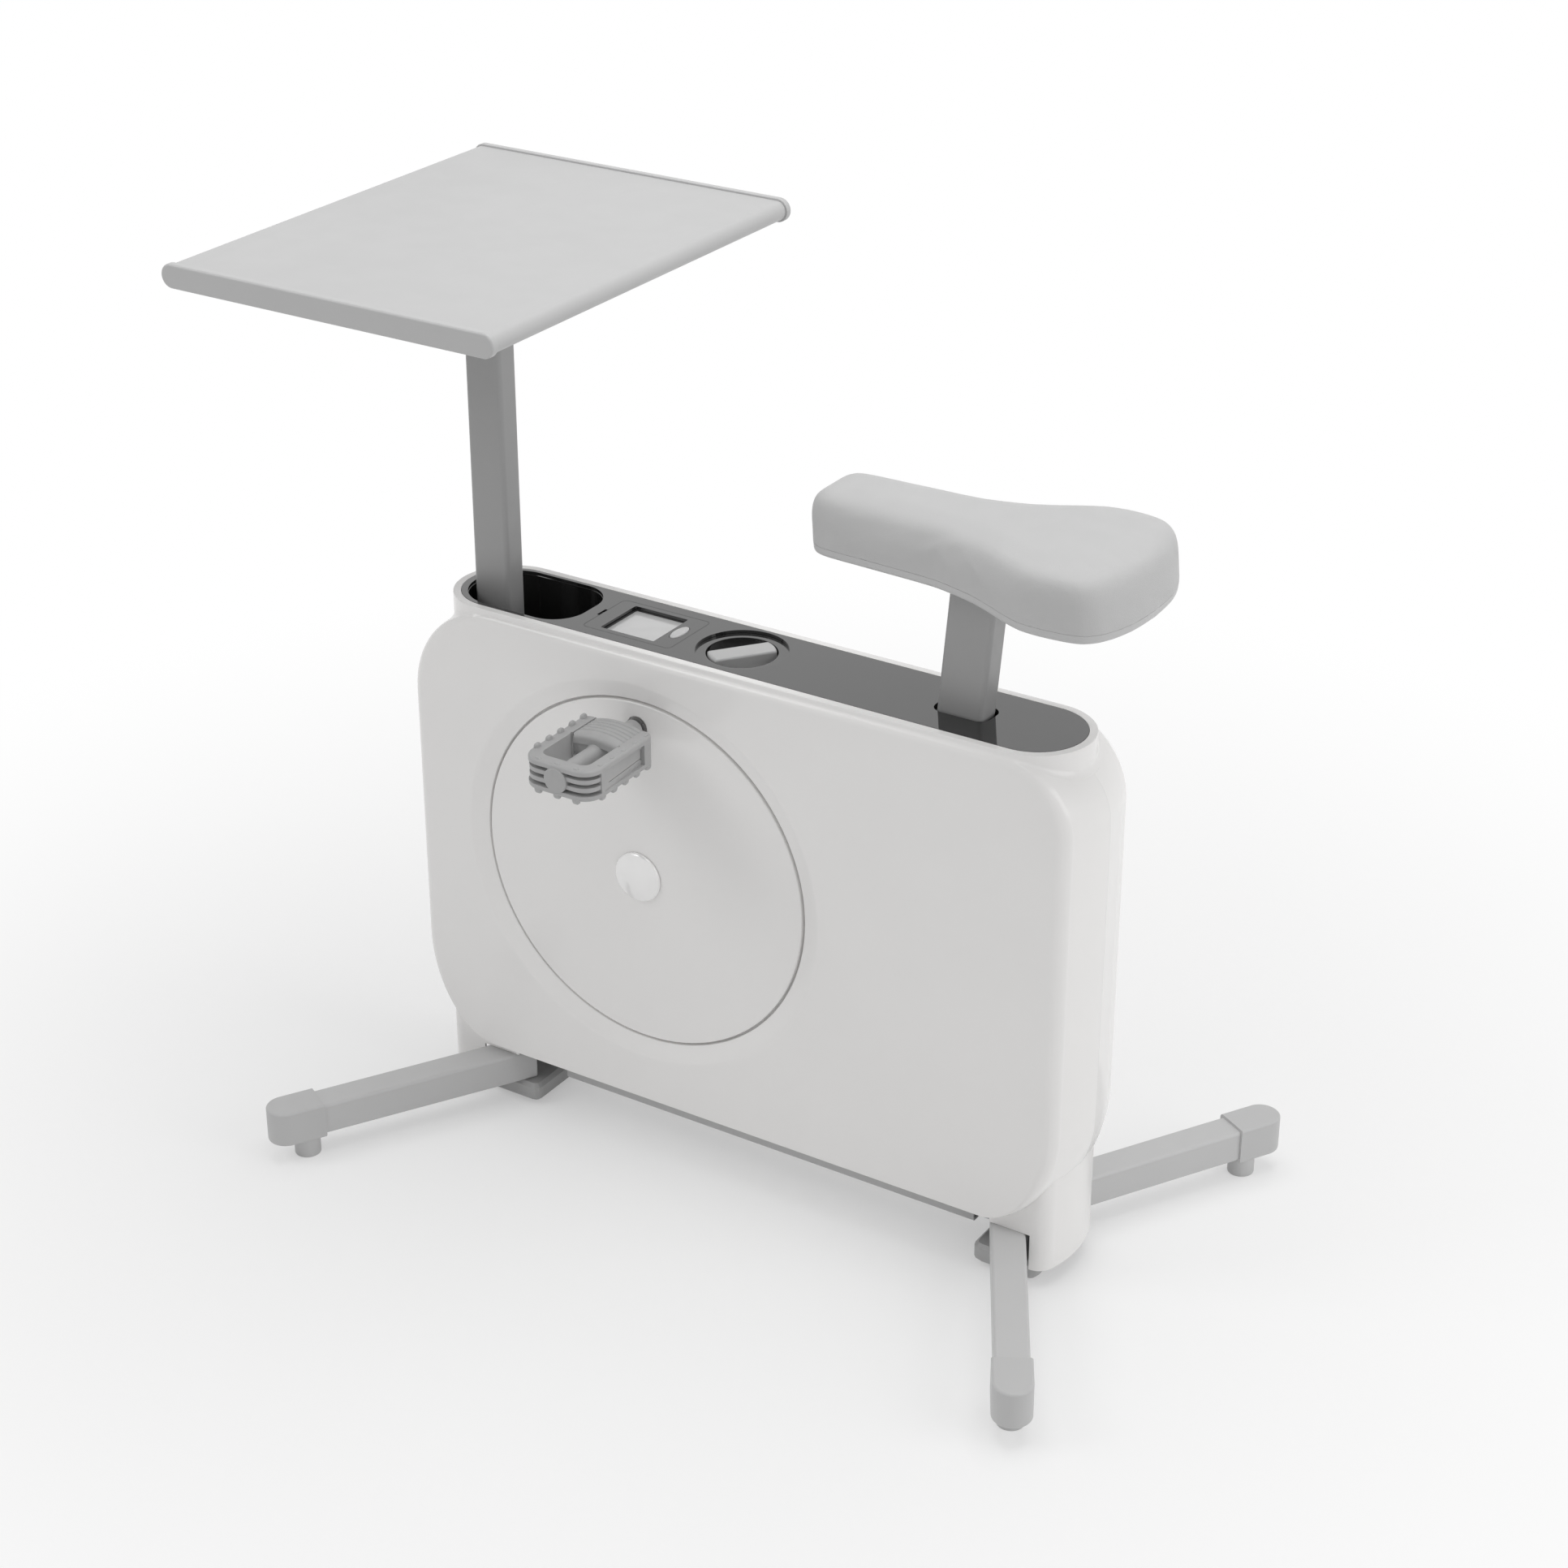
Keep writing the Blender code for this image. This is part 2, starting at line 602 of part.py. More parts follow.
def seat_clearance():
    """The hole in the body's floor for the seat post's leaning sleeve."""
    half_x = SEAT_POST[0] / 2 + RUN + SEAT_SLEEVE_WALL + SLEEVE_AIR
    half_y = SEAT_POST[1] / 2 + RUN + SEAT_SLEEVE_WALL + SLEEVE_AIR
    depth = (COLLAR_TOP - COVER_BOTTOM) / math.cos(SEAT_LEAN)
    bm = box((-half_x, -half_y, -depth - 3 * COVER_WALL), (half_x, half_y, -depth + 3 * COVER_WALL))
    return moved(bm, seat_frame())


def seat_frame():
    """The leaning seat post's own frame: its origin is on the post's centre line at the deck's top."""
    return Matrix.Translation((SEAT_POST_X, 0, COLLAR_TOP)) @ Matrix.Rotation(SEAT_LEAN, 4, "Y")


def make_skirt(name, end, material, parent):
    """The shell under one end of the body, notched over the legs, and its web on the clamp plate."""
    skirt = add_object(name, prism(skirt_outline(end), SKIRT_BOTTOM, SKIRT_TOP), material, parent)
    hollow = skirt_outline(end, -SKIRT_WALL, SKIRT_INNER - PAST)
    web = PLATE_TOP + GAP
    below = prism(hollow, SKIRT_BOTTOM - PAST, web)
    above = prism(hollow, web + SKIRT_WEB, SKIRT_TOP + PAST)
    cut(skirt, joined(below, above))
    near, far = SKIRT_INNER - PAST, SKIRT_EDGE
    low, high = (near, far) if end == "rear" else (-far, -near)
    reach = SKIRT_HALF + PAST
    cut(skirt, box((low, -reach, SKIRT_BOTTOM - PAST), (high, reach, LEG_TOP + GAP)))
    return skirt


def make_collar(material, parent):
    """The stadium ring at the top: outer wall, rim and the ledge under the deck."""
    seat = COLLAR_RADIUS - DECK_RADIUS - GAP
    ledge = seat + LEDGE_WIDTH
    shelf = DECK_BOTTOM - GAP
    bend = COLLAR_EDGE * (1 - math.sqrt(0.5))
    profile = [(0, COLLAR_BOTTOM), (0, COLLAR_TOP - COLLAR_EDGE), (bend, COLLAR_TOP - bend),
               (COLLAR_EDGE, COLLAR_TOP), (seat, COLLAR_TOP), (seat, shelf), (ledge, shelf),
               (ledge, shelf - LEDGE_THICK), (COLLAR_WALL, shelf - LEDGE_THICK), (COLLAR_WALL, COLLAR_BOTTOM)]
    bm = bmesh.new()
    rings = []
    for inset, level in profile:
        outline = stadium(COLLAR_FRONT + inset, COLLAR_REAR - inset, COLLAR_RADIUS - inset, ROUND_END)
        rings.append([bm.verts.new((x, y, level)) for x, y in outline])
    bridge(bm, rings + rings[:1], closed=False)
    collar = add_object("top_collar", bm, material, parent)
    reach = COLLAR_SIDE_STEP
    low = (COLLAR_FRONT + reach, -BODY_HALF, COLLAR_BOTTOM - COLLAR_WALL)
    cut(collar, box(low, (COLLAR_REAR - reach, BODY_HALF, COLLAR_TOP - COLLAR_SIDE_DEPTH)))
    return collar


def pocket_outline(spare=0.0):
    """Plan of the pocket: a half round end round the post and softer corners behind."""
    front = POCKET_HALF - GAP + spare
    rear = POCKET_REAR_RADIUS + spare
    low = (POCKET_FRONT - spare, -POCKET_HALF - spare)
    high = (POCKET_REAR + spare, POCKET_HALF + spare)
    return rounded_box(low, high, (front, rear, rear, front), 6)


def make_deck(material, parent):
    """The dark deck plate with every opening in it."""
    plate = prism(stadium(DECK_FRONT, DECK_REAR, DECK_RADIUS, ROUND_END), DECK_BOTTOM, COLLAR_TOP)
    deck = add_object("deck_panel", plate, material, parent)
    low, high = DECK_BOTTOM - DECK_THICK, COLLAR_TOP + DECK_THICK
    half = (SEAT_SLOT[0] / 2, SEAT_SLOT[1] / 2)
    slot = rounded_box((-half[0], -half[1]), half, SEAT_SLOT_CORNER, 4)
    notch = (DISPLAY_FRONT - NOTCH_WIDTH, -NOTCH_LENGTH / 2, low)
    cut(deck, prism(pocket_outline(), low, high))
    cut(deck, prism(display_outline(GAP), low, high))
    cut(deck, joined(box(notch, (DISPLAY_FRONT, NOTCH_LENGTH / 2, high)),
                     prism(circle((KNOB_X, 0), KNOB_RECESS_RADIUS, ROUND_BIG), low, high),
                     prism([(SEAT_POST_X + x, y) for x, y in slot], low, high)))
    return deck


def display_outline(spare=0.0):
    low = (DISPLAY_FRONT - spare, -DISPLAY_HALF - spare)
    return rounded_box(low, (DISPLAY_REAR + spare, DISPLAY_HALF + spare), DISPLAY_CORNER + spare, 3)


def make_pocket(material, parent):
    """The deep cup that the desk post stands in."""
    top = DECK_BOTTOM - GAP
    body = prism(pocket_outline(POCKET_WALL), POCKET_FLOOR - POCKET_WALL, top)
    cup = add_object("pocket_cup", body, material, parent)
    cut(cup, prism(pocket_outline(-GAP), POCKET_FLOOR, top + PAST))
    half_x = DESK_POST[0] / 2 + 2 * RUN
    half_y = DESK_POST[1] / 2 + 2 * RUN
    hole = rounded_box((DESK_POST_X - half_x, -half_y), (DESK_POST_X + half_x, half_y), POST_CORNER, 3)
    cut(cup, prism(hole, POCKET_FLOOR - PAST, POCKET_FLOOR + PAST))
    return cup


def make_display(dark, grey, glass, parent, button_parent):
    """Bezel, housing, window glass and the sprung oval button."""
    bezel = add_object("display_bezel", prism(display_outline(), DECK_BOTTOM, COLLAR_TOP), dark, parent)
    window = rounded_box((WINDOW_FRONT, -WINDOW_HALF), (WINDOW_REAR, WINDOW_HALF), WINDOW_CORNER, 2)
    oval = stretched_oval(GAP)
    low, high = DECK_BOTTOM - DECK_THICK, COLLAR_TOP + DECK_THICK
    cut(bezel, joined(prism(window, low, high), prism(oval, low, high)))
    top = DECK_BOTTOM - GAP
    body = prism(display_outline(-DISPLAY_LIP), top - DISPLAY_DEPTH, top)
    housing = add_object("display_housing", body, dark, parent)
    glass_top = COLLAR_TOP - GLASS_SINK
    floor = glass_top - GLASS_THICK - GAP
    button_floor = COLLAR_TOP - BUTTON_DEPTH - BUTTON_TRAVEL - GAP
    cut(housing, joined(prism(window, floor, high), prism(oval, button_floor, high)))
    low, high = (WINDOW_FRONT + GAP, -WINDOW_HALF + GAP), (WINDOW_REAR - GAP, WINDOW_HALF - GAP)
    pane = rounded_box(low, high, WINDOW_CORNER, 2)
    add_object("display_window", prism(pane, floor + GAP, glass_top), glass, parent)
    make_button(grey, button_parent)


def stretched_oval(spare=0.0):
    """The button's oval, longer across the bike."""
    radii = (BUTTON_WIDTH / 2 + spare, BUTTON_LENGTH / 2 + spare)
    return arc((BUTTON_X, 0), radii, 0, 2 * math.pi * (BUTTON_SIDES - 1) / BUTTON_SIDES, BUTTON_SIDES - 1)


def make_button(material, parent):
    """The oval button's plunger with its domed top."""
    bm = bmesh.new()
    levels = [(1.0, COLLAR_TOP - BUTTON_DEPTH), (1.0, COLLAR_TOP)]
    for angle in (35, 65, 90):
        swing = math.radians(angle)
        levels.append((0.4 + 0.6 * math.cos(swing), COLLAR_TOP + BUTTON_RISE * math.sin(swing)))
    rings = []
    for scale, level in levels:
        ring = [(BUTTON_X + (x - BUTTON_X) * scale, y * scale) for x, y in stretched_oval(-GAP)]
        rings.append([bm.verts.new((x, y, level)) for x, y in ring])
    bridge(bm, rings)
    return add_object("mode_button", bm, material, parent)


def make_knob_bezel(material, parent):
    """The recessed ring round the knob and the cup that the knob turns in."""
    top = DECK_BOTTOM - GAP
    outer = KNOB_HOLE_RADIUS + KNOB_CUP_WALL
    floor = COLLAR_TOP - KNOB_CUP_DEPTH
    stem = KNOB_STEM_RADIUS + RUN
    ring = KNOB_RECESS_RADIUS + LEDGE_WIDTH
    under = top - KNOB_CUP_WALL
    profile = [(stem, floor - KNOB_CUP_WALL), (outer, floor - KNOB_CUP_WALL), (outer, under), (ring, under),
               (ring, top), (KNOB_HOLE_RADIUS, top), (KNOB_HOLE_RADIUS, floor), (stem, floor)]
    return add_object("knob_bezel", turned(profile, (KNOB_X, 0), "z", ROUND_BIG), material, parent)


def make_knob(material, parent):
    """The resistance knob: a low drum with a wide grip bar, its stem and the cam on the stem's end."""
    floor = COLLAR_TOP - KNOB_CUP_DEPTH + RUN
    cam_bottom = brake_tab_top() + GAP
    profile = [(0, cam_bottom), (CAM_RADIUS, cam_bottom), (CAM_RADIUS, cam_bottom + CAM_THICK),
               (KNOB_STEM_RADIUS, cam_bottom + CAM_THICK), (KNOB_STEM_RADIUS, floor), (KNOB_RADIUS, floor),
               (KNOB_RADIUS, floor + KNOB_BASE), (0, floor + KNOB_BASE)]
    knob = add_object("resistance_knob", turned(profile, (KNOB_X, 0), "z", ROUND_MIDDLE), material, parent)
    half = KNOB_BAR_WIDTH / 2
    reach = math.sqrt(KNOB_RADIUS ** 2 - half ** 2)
    corner = math.atan2(half, reach)
    plan = arc((0, 0), KNOB_RADIUS, -corner, corner, 4)
    plan += arc((0, 0), KNOB_RADIUS, math.pi - corner, math.pi + corner, 4)
    bm = bmesh.new()
    rings = []
    top = COLLAR_TOP - KNOB_SINK
    levels = [(floor + KNOB_BASE / 2, 0.0)]
    for angle in (0, 35, 65, 90):
        swing = math.radians(angle)
        levels.append((top - KNOB_EDGE * (1 - math.sin(swing)), KNOB_EDGE * (1 - math.cos(swing))))
    for level, inset in levels:
        shrink = 1 - inset / KNOB_RADIUS
        narrow = 1 - inset / half
        rings.append([bm.verts.new((x * shrink, y * narrow, level)) for x, y in plan])
    bridge(bm, rings)
    moved(bm, Matrix.Translation((KNOB_X, 0, 0)) @ Matrix.Rotation(KNOB_BAR_ANGLE, 4, "Z"))
    cut(knob, bm, "UNION")
    return knob


def leg_frame(end, side):
    """A leg's own frame: +X runs outward along the tube from where the centre lines cross."""
    heading = Vector((end * math.cos(LEG_ANGLE), side * math.sin(LEG_ANGLE), 0))
    across = Vector((-heading.y, heading.x, 0))
    frame = Matrix((heading, across, Vector((0, 0, 1)))).transposed().to_4x4()
    return Matrix.Translation((end * LEG_SPREAD_X, 0, 0)) @ frame


def make_leg(name, end, side, materials, parent, foot_parent):
    """A square leg tube, its plastic end cap and the levelling foot under the cap."""
    steel, plastic = materials
    frame = leg_frame(end, side)
    half = LEG_TUBE / 2
    tube_end = LEG_CAP_START + LEG_CAP_GRIP
    section = rounded_box((-half, LEG_BOTTOM), (half, LEG_TOP), TUBE_CORNER, 2)
    tube = add_object(name + "_leg", moved(prism(section, LEG_ROOT, tube_end, "x"), frame), steel, parent)
    inner = half - LEG_WALL
    bore_start = (LEG_ROOT + LEG_ROOT_PLUG, -inner, LEG_BOTTOM + LEG_WALL)
    bore = box(bore_start, (tube_end + PAST, inner, LEG_TOP - LEG_WALL))
    cut(tube, moved(bore, frame))
    low = LEG_BOTTOM - LEG_CAP_WALL
    high = LEG_TOP + LEG_CAP_WALL
    wide = LEG_CAP_HALF
    plan = [(LEG_CAP_START, -wide)]
    plan += arc((LEG_CAP_END - wide, 0), wide, -math.pi / 2, math.pi / 2, 8) + [(LEG_CAP_START, wide)]
    cap = add_object(name + "_leg_cap", moved(prism(plan, low, high), frame), plastic, parent)
    soften(cap, LEG_CAP_EDGE, 1, 60)
    socket_start = (LEG_CAP_START - PAST, -half - GAP, LEG_BOTTOM - GAP)
    socket = box(socket_start, (tube_end + GAP, half + GAP, LEG_TOP + GAP))
    cut(cap, moved(socket, frame))
    stud = FOOT_STUD_RADIUS + RUN
    stud_top = low - GAP + FOOT_STUD_LENGTH
    cut(cap, moved(prism(circle((FOOT_ALONG, 0), stud, 12), low - GAP, stud_top + LEG_CAP_WALL), frame))
    profile = [(0, 0), (FOOT_RADIUS - FOOT_EDGE, 0), (FOOT_RADIUS, FOOT_EDGE), (FOOT_RADIUS, low - GAP),
               (FOOT_STUD_RADIUS, low - GAP), (FOOT_STUD_RADIUS, stud_top), (0, stud_top)]
    foot = turned(profile, (FOOT_ALONG, 0), "z", 16)
    add_object(name + "_levelling_foot", moved(foot, frame), plastic, foot_parent)


def make_chassis(end_name, end, cast, steel, parent):
    """The cast block under the leg roots and the clamp plate over them."""
    outline = rounded_box((HUB_INNER, -HUB_HALF), (HUB_OUTER, HUB_HALF), PLATE_CORNER, 3)
    block = prism([(end * x, y) for x, y in outline], HUB_BOTTOM, LEG_BOTTOM - GAP)
    hub = add_object(end_name + "_hub_block", block, cast, parent)
    soften(hub, HUB_EDGE, 1, 60)
    outer = skirt_tip(end_name) - SKIRT_BOW - SKIRT_WALL - PLATE_AIR
    radius = SKIRT_RADIUS - SKIRT_WALL
    corners = (PLATE_CORNER, radius, radius, PLATE_CORNER)
    plan = rounded_box((PLATE_INNER_END, -HUB_HALF), (outer, HUB_HALF), corners, 4)
    plate = prism([(end * x, y) for x, y in plan], LEG_TOP + GAP, PLATE_TOP)
    add_object(end_name + "_clamp_plate", plate, steel, parent)


def make_beam(material, parent):
    half = LEG_TUBE / 2
    section = rounded_box((-half, LEG_BOTTOM), (half, LEG_TOP), TUBE_CORNER, 2)
    beam = add_object("chassis_beam", prism(section, -BEAM_END, BEAM_END, "x"), material, parent)
    inner = half - LEG_WALL
    low = (-BEAM_END - LEG_WALL, -inner, LEG_BOTTOM + LEG_WALL)
    cut(beam, box(low, (BEAM_END + LEG_WALL, inner, LEG_TOP - LEG_WALL)))


def post_bore(size):
    """The space inside a post, open below and closed by a plug above."""
    return tube_section(size, -POST_WALL, POST_CORNER - POST_WALL)


def tube_section(size, spare, corner):
    half_x = size[0] / 2 + spare
    half_y = size[1] / 2 + spare
    return rounded_box((-half_x, -half_y), (half_x, half_y), corner, 3)


def make_desk_post(steel, dark, parent, body_parent):
    """The sliding desk post and the fixed sleeve that guides it."""
    place = Matrix.Translation((DESK_POST_X, 0, 0))
    top = DESK_TOP - DESK_CAP_STEP - (DESK_CAP_THICK - 2 * DESK_CAP_STEP) - DESK_HEAD_THICK - 2 * GAP
    outer = moved(prism(tube_section(DESK_POST, 0, POST_CORNER), DESK_POST_BOTTOM, top), place)
    post = add_object("desk_post", outer, steel, parent)
    cut(post, moved(prism(post_bore(DESK_POST), DESK_POST_BOTTOM - POST_WALL, top - POST_WALL), place))
    sleeve_top = POCKET_FLOOR - POCKET_WALL - GAP
    foot = PLATE_TOP + GAP + SKIRT_WEB + GAP
    section = tube_section(DESK_POST, RUN + DESK_SLEEVE_WALL, POST_CORNER + DESK_SLEEVE_WALL)
    sleeve = add_object("desk_sleeve", moved(prism(section, foot, sleeve_top), place), dark, body_parent)
    bore = tube_section(DESK_POST, RUN, POST_CORNER + RUN)
    cut(sleeve, moved(prism(bore, foot - SKIRT_WEB, sleeve_top + SKIRT_WEB), place))


def make_desk(board_material, cap_material, steel, parent):
    """The extruded board, its two end caps and the bracket under it."""
    thick = DESK_CAP_THICK - 2 * DESK_CAP_STEP
    top = DESK_TOP - DESK_CAP_STEP
    half = DESK_HALF - DESK_CAP_WIDTH - GAP
    profile = bullnose(DESK_FRONT + DESK_CAP_STEP, DESK_REAR - DESK_CAP_STEP, top - thick, top)
    add_object("desk_board", prism(profile, -half, half, "y"), board_material, parent)
    for name, side in (("near_desk_cap", -1), ("far_desk_cap", 1)):
        outline = bullnose(DESK_FRONT, DESK_REAR, DESK_TOP - DESK_CAP_THICK, DESK_TOP)
        start = side * (DESK_HALF - DESK_CAP_WIDTH)
        cap = add_object(name, prism(outline, start, side * DESK_HALF, "y"), cap_material, parent)
        soften(cap, DESK_CAP_EDGE, 1, 60)
    under = top - thick - GAP
    plan = tube_section(DESK_HEAD, 0, DESK_HEAD_CORNER)
    place = Matrix.Translation((DESK_POST_X, 0, 0))
    head = add_object("desk_head", moved(prism(plan, under - DESK_HEAD_THICK, under), place), steel, parent)
    socket_top = under - DESK_HEAD_THICK
    collar = tube_section(DESK_POST, GAP + DESK_SOCKET_WALL, POST_CORNER + DESK_SOCKET_WALL)
    cut(head, moved(prism(collar, socket_top - DESK_SOCKET_HEIGHT, socket_top + GAP), place), "UNION")
    bore = tube_section(DESK_POST, GAP, POST_CORNER + GAP)
    cut(head, moved(prism(bore, socket_top - DESK_SOCKET_HEIGHT - PAST, socket_top), place))


def bullnose(front, rear, low, high):
    radius = (high - low) / 2
    middle = (high + low) / 2
    points = arc((rear - radius, middle), radius, -math.pi / 2, math.pi / 2, 8)
    return points + arc((front + radius, middle), radius, math.pi / 2, math.pi * 3 / 2, 8)


def saddle_half_width(x):
    """Half width of the saddle's upper outline: a smooth curve through the widths."""
    count = len(SADDLE_WIDTHS) - 1
    step = (SADDLE_TAIL_START - SADDLE_NOSE_X) / count
    place = min(max((x - SADDLE_NOSE_X) / step, 0.0), count - 1e-6)
    index = int(place)
    local = place - index
    before = SADDLE_WIDTHS[max(index - 1, 0)]
    first = SADDLE_WIDTHS[index]
    second = SADDLE_WIDTHS[index + 1]
    after = SADDLE_WIDTHS[min(index + 2, count)]
    slope_a = (second - before) / 2
    slope_b = (after - first) / 2
    curve = (2 * local ** 3 - 3 * local ** 2 + 1) * first + (local ** 3 - 2 * local ** 2 + local) * slope_a
    return curve + (3 * local ** 2 - 2 * local ** 3) * second + (local ** 3 - local ** 2) * slope_b


def saddle_outline(inset):
    """The near half of the outline from nose to tail, as x, half width, drawn in all round by the inset."""
    corner = max(SADDLE_NOSE_RADIUS - inset, SADDLE_NOSE_RADIUS / 5)
    start = SADDLE_NOSE_X + inset + corner
    tail = SADDLE_TAIL_X - inset
    bend = SADDLE_TAIL_START - SADDLE_TAIL_DRAW * inset
    places = [start - corner * math.cos(math.radians(angle)) for angle in (0, 22, 45, 68, 90)]
    middle = 13
    places += [start + (bend - start) * step / middle for step in range(1, middle + 1)]
    places += [bend + (tail - bend) * math.sin(math.radians(angle)) for angle in (20, 38, 54, 68, 79, 90)]
    points = []
    for x in places:
        width = saddle_half_width(x) - inset
        if x > bend:
            share = (x - bend) / (tail - bend)
            along, across = SADDLE_TAIL_POWERS
            width *= max(1 - share ** along, 0.0) ** across
        if x < start:
            width -= corner - math.sqrt(max(corner ** 2 - (start - x) ** 2, 0.0))
        points.append((x, width))
    return points


def saddle_ring(bm, inset, level):
    """A closed ring of the saddle at one level."""
    side = saddle_outline(inset)
    outline = [(x, -width) for x, width in side] + [(x, width) for x, width in reversed(side[:-1])]
    return [bm.verts.new((x, y, level)) for x, y in outline]


def make_saddle(pad, plastic, steel, parent):
    """The cushion with its soft edge, drawn-in sides and crown, the pan under it and the post's clamp."""
    seam = SADDLE_BOTTOM + SADDLE_PAN
    height = SADDLE_TOP - seam - SADDLE_EDGE
    bm = bmesh.new()
    rings = [saddle_ring(bm, SADDLE_DRAW * height + SADDLE_SEAM, seam + GAP)]
    for share in (0.06, 0.5, 1.0):
        rings.append(saddle_ring(bm, SADDLE_DRAW * height * (1 - share), seam + height * share))
    for angle in (22, 44, 64, 80):
        swing = math.radians(angle)
        level = SADDLE_TOP - SADDLE_EDGE * (1 - math.sin(swing)) - SADDLE_CROWN
        rings.append(saddle_ring(bm, SADDLE_EDGE * (1 - math.cos(swing)), level))
    for share, rise in SADDLE_CROWN_STEPS:
        rings.append(saddle_ring(bm, SADDLE_EDGE * share, SADDLE_TOP - SADDLE_CROWN * (1 - rise)))
    bridge(bm, rings)
    add_object("saddle_cushion", bm, pad, parent)
    low = SADDLE_DRAW * (SADDLE_TOP - SADDLE_BOTTOM - SADDLE_EDGE)
    bm = bmesh.new()
    rings = [saddle_ring(bm, low + SADDLE_PAN_EDGE, SADDLE_BOTTOM),
             saddle_ring(bm, low + GAP, SADDLE_BOTTOM + SADDLE_PAN_EDGE),
             saddle_ring(bm, SADDLE_DRAW * height + GAP, seam)]
    bridge(bm, rings)
    pan = add_object("saddle_pan", bm, plastic, parent)
    frame = seat_frame()
    along = (SADDLE_BOTTOM - COLLAR_TOP) / math.cos(SEAT_LEAN)
    head = tube_section(SEAT_POST, 0, POST_CORNER)
    recess = tube_section(SEAT_POST, GAP, POST_CORNER)
    cut(pan, moved(prism(recess, along - SADDLE_PAN, along + SADDLE_SOCKET), frame))
    head_top = along + SADDLE_SOCKET - GAP
    post = add_object("seat_post", moved(prism(head, -SEAT_POST_INSIDE, head_top), frame), steel, parent)
    hollow = prism(post_bore(SEAT_POST), -SEAT_POST_INSIDE - POST_WALL, head_top - POST_WALL)
    cut(post, moved(hollow, frame))
    make_saddle_clamp(steel, parent, along)


def make_saddle_clamp(steel, parent, along):
    """The pressed plate under the pan that grips the post's head."""
    top = SADDLE_BOTTOM - GAP
    centre = SEAT_POST_X + math.tan(SEAT_LEAN) * (SADDLE_BOTTOM - COLLAR_TOP)
    plan = [(centre + x, y) for x, y in tube_section(CLAMP_PLATE, 0, CLAMP_CORNER)]
    clamp = add_object("saddle_clamp", prism(plan, top - CLAMP_THICK, top), steel, parent)
    inner = tube_section(SEAT_POST, GAP, POST_CORNER)
    cut(clamp, moved(prism(inner, along - CLAMP_THICK - PAST, along + PAST), seat_frame()))


def make_seat_sleeve(material, parent):
    """The leaning sleeve that guides the seat post, cut level where it stands on the beam."""
    frame = seat_frame()
    long = COLLAR_TOP / math.cos(SEAT_LEAN) + PAST
    top = -(COLLAR_TOP - DECK_BOTTOM) - SLEEVE_SINK
    outer = tube_section(SEAT_POST, RUN + SEAT_SLEEVE_WALL, POST_CORNER + SEAT_SLEEVE_WALL)
    sleeve = add_object("seat_sleeve", moved(prism(outer, -long, top), frame), material, parent)
    inner = tube_section(SEAT_POST, RUN, POST_CORNER + RUN)
    cut(sleeve, moved(prism(inner, -long - PAST, top + PAST), frame))
    reach = 2 * SEAT_POST[0]
    cut(sleeve, box((0, -reach, -reach), (SEAT_POST_X + reach, reach, LEG_TOP + GAP)))


def make_frame_plate(name, side, steel, parent):
    """A side plate of the chassis with the seats for the crank bearing and the flywheel axle."""
    front = DESK_POST_X - DESK_POST[0] / 2 - DESK_SLEEVE_WALL
    rear = SEAT_POST_X - FRAME_PLATE_END
    reach = FRAME_PLATE_REACH
    outline = [(front, CRANK_Z - reach), (CRANK_X - FRAME_PLATE_TAPER, CRANK_Z - reach),
               (FLYWHEEL_X - FRAME_PLATE_TAPER, FLYWHEEL_Z - reach), (rear, FLYWHEEL_Z - reach),
               (rear, FLYWHEEL_Z + reach), (FLYWHEEL_X + FRAME_PLATE_TAPER, FLYWHEEL_Z + reach),
               (CRANK_X + FRAME_PLATE_TAPER, CRANK_Z + reach), (front, CRANK_Z + reach)]
    start = FRAME_PLATE_Y
    end = start + FRAME_PLATE_THICK
    frame = add_object(name, prism(outline, side * start, side * end, "y"), steel, parent)
    low, high = side * (start - FRAME_PLATE_THICK), side * (end + FRAME_PLATE_THICK)
    front_hole = ((DESK_POST_X + DESK_POST[0] / 2 + CRANK_X - BEARING_RADIUS) / 2, CRANK_Z)
    middle_hole = ((CRANK_X + FLYWHEEL_X) / 2, (CRANK_Z + FLYWHEEL_Z) / 2)
    rear_hole = ((FLYWHEEL_X + SEAT_POST_X - SEAT_POST[0]) / 2, FLYWHEEL_Z)
    cut(frame, joined(
        prism(circle((CRANK_X, CRANK_Z), BEARING_RADIUS + GAP, 20), low, high, "y"),
        prism(circle((FLYWHEEL_X, FLYWHEEL_Z), FLYWHEEL_AXLE_RADIUS + GAP, ROUND_SMALL), low, high, "y"),
        prism(circle(front_hole, PLATE_HOLE_RADIUS, 12), low, high, "y"),
        prism(circle(middle_hole, PLATE_HOLE_RADIUS, 12), low, high, "y"),
        prism(circle(rear_hole, PLATE_HOLE_RADIUS, 12), low, high, "y")))


def make_bearing(name, side, steel, parent):
    start = FRAME_PLATE_Y
    outer = start + BEARING_WIDTH
    bore = AXLE_RADIUS + RUN
    lip = BEARING_RADIUS + BEARING_LIP
    profile = [(bore, start), (BEARING_RADIUS, start), (BEARING_RADIUS, start + FRAME_PLATE_THICK + GAP),
               (lip, start + FRAME_PLATE_THICK + GAP), (lip, outer), (bore, outer)]
    add_object(name, turned(profile, (CRANK_X, CRANK_Z), steps=20, sign=side), steel, parent)


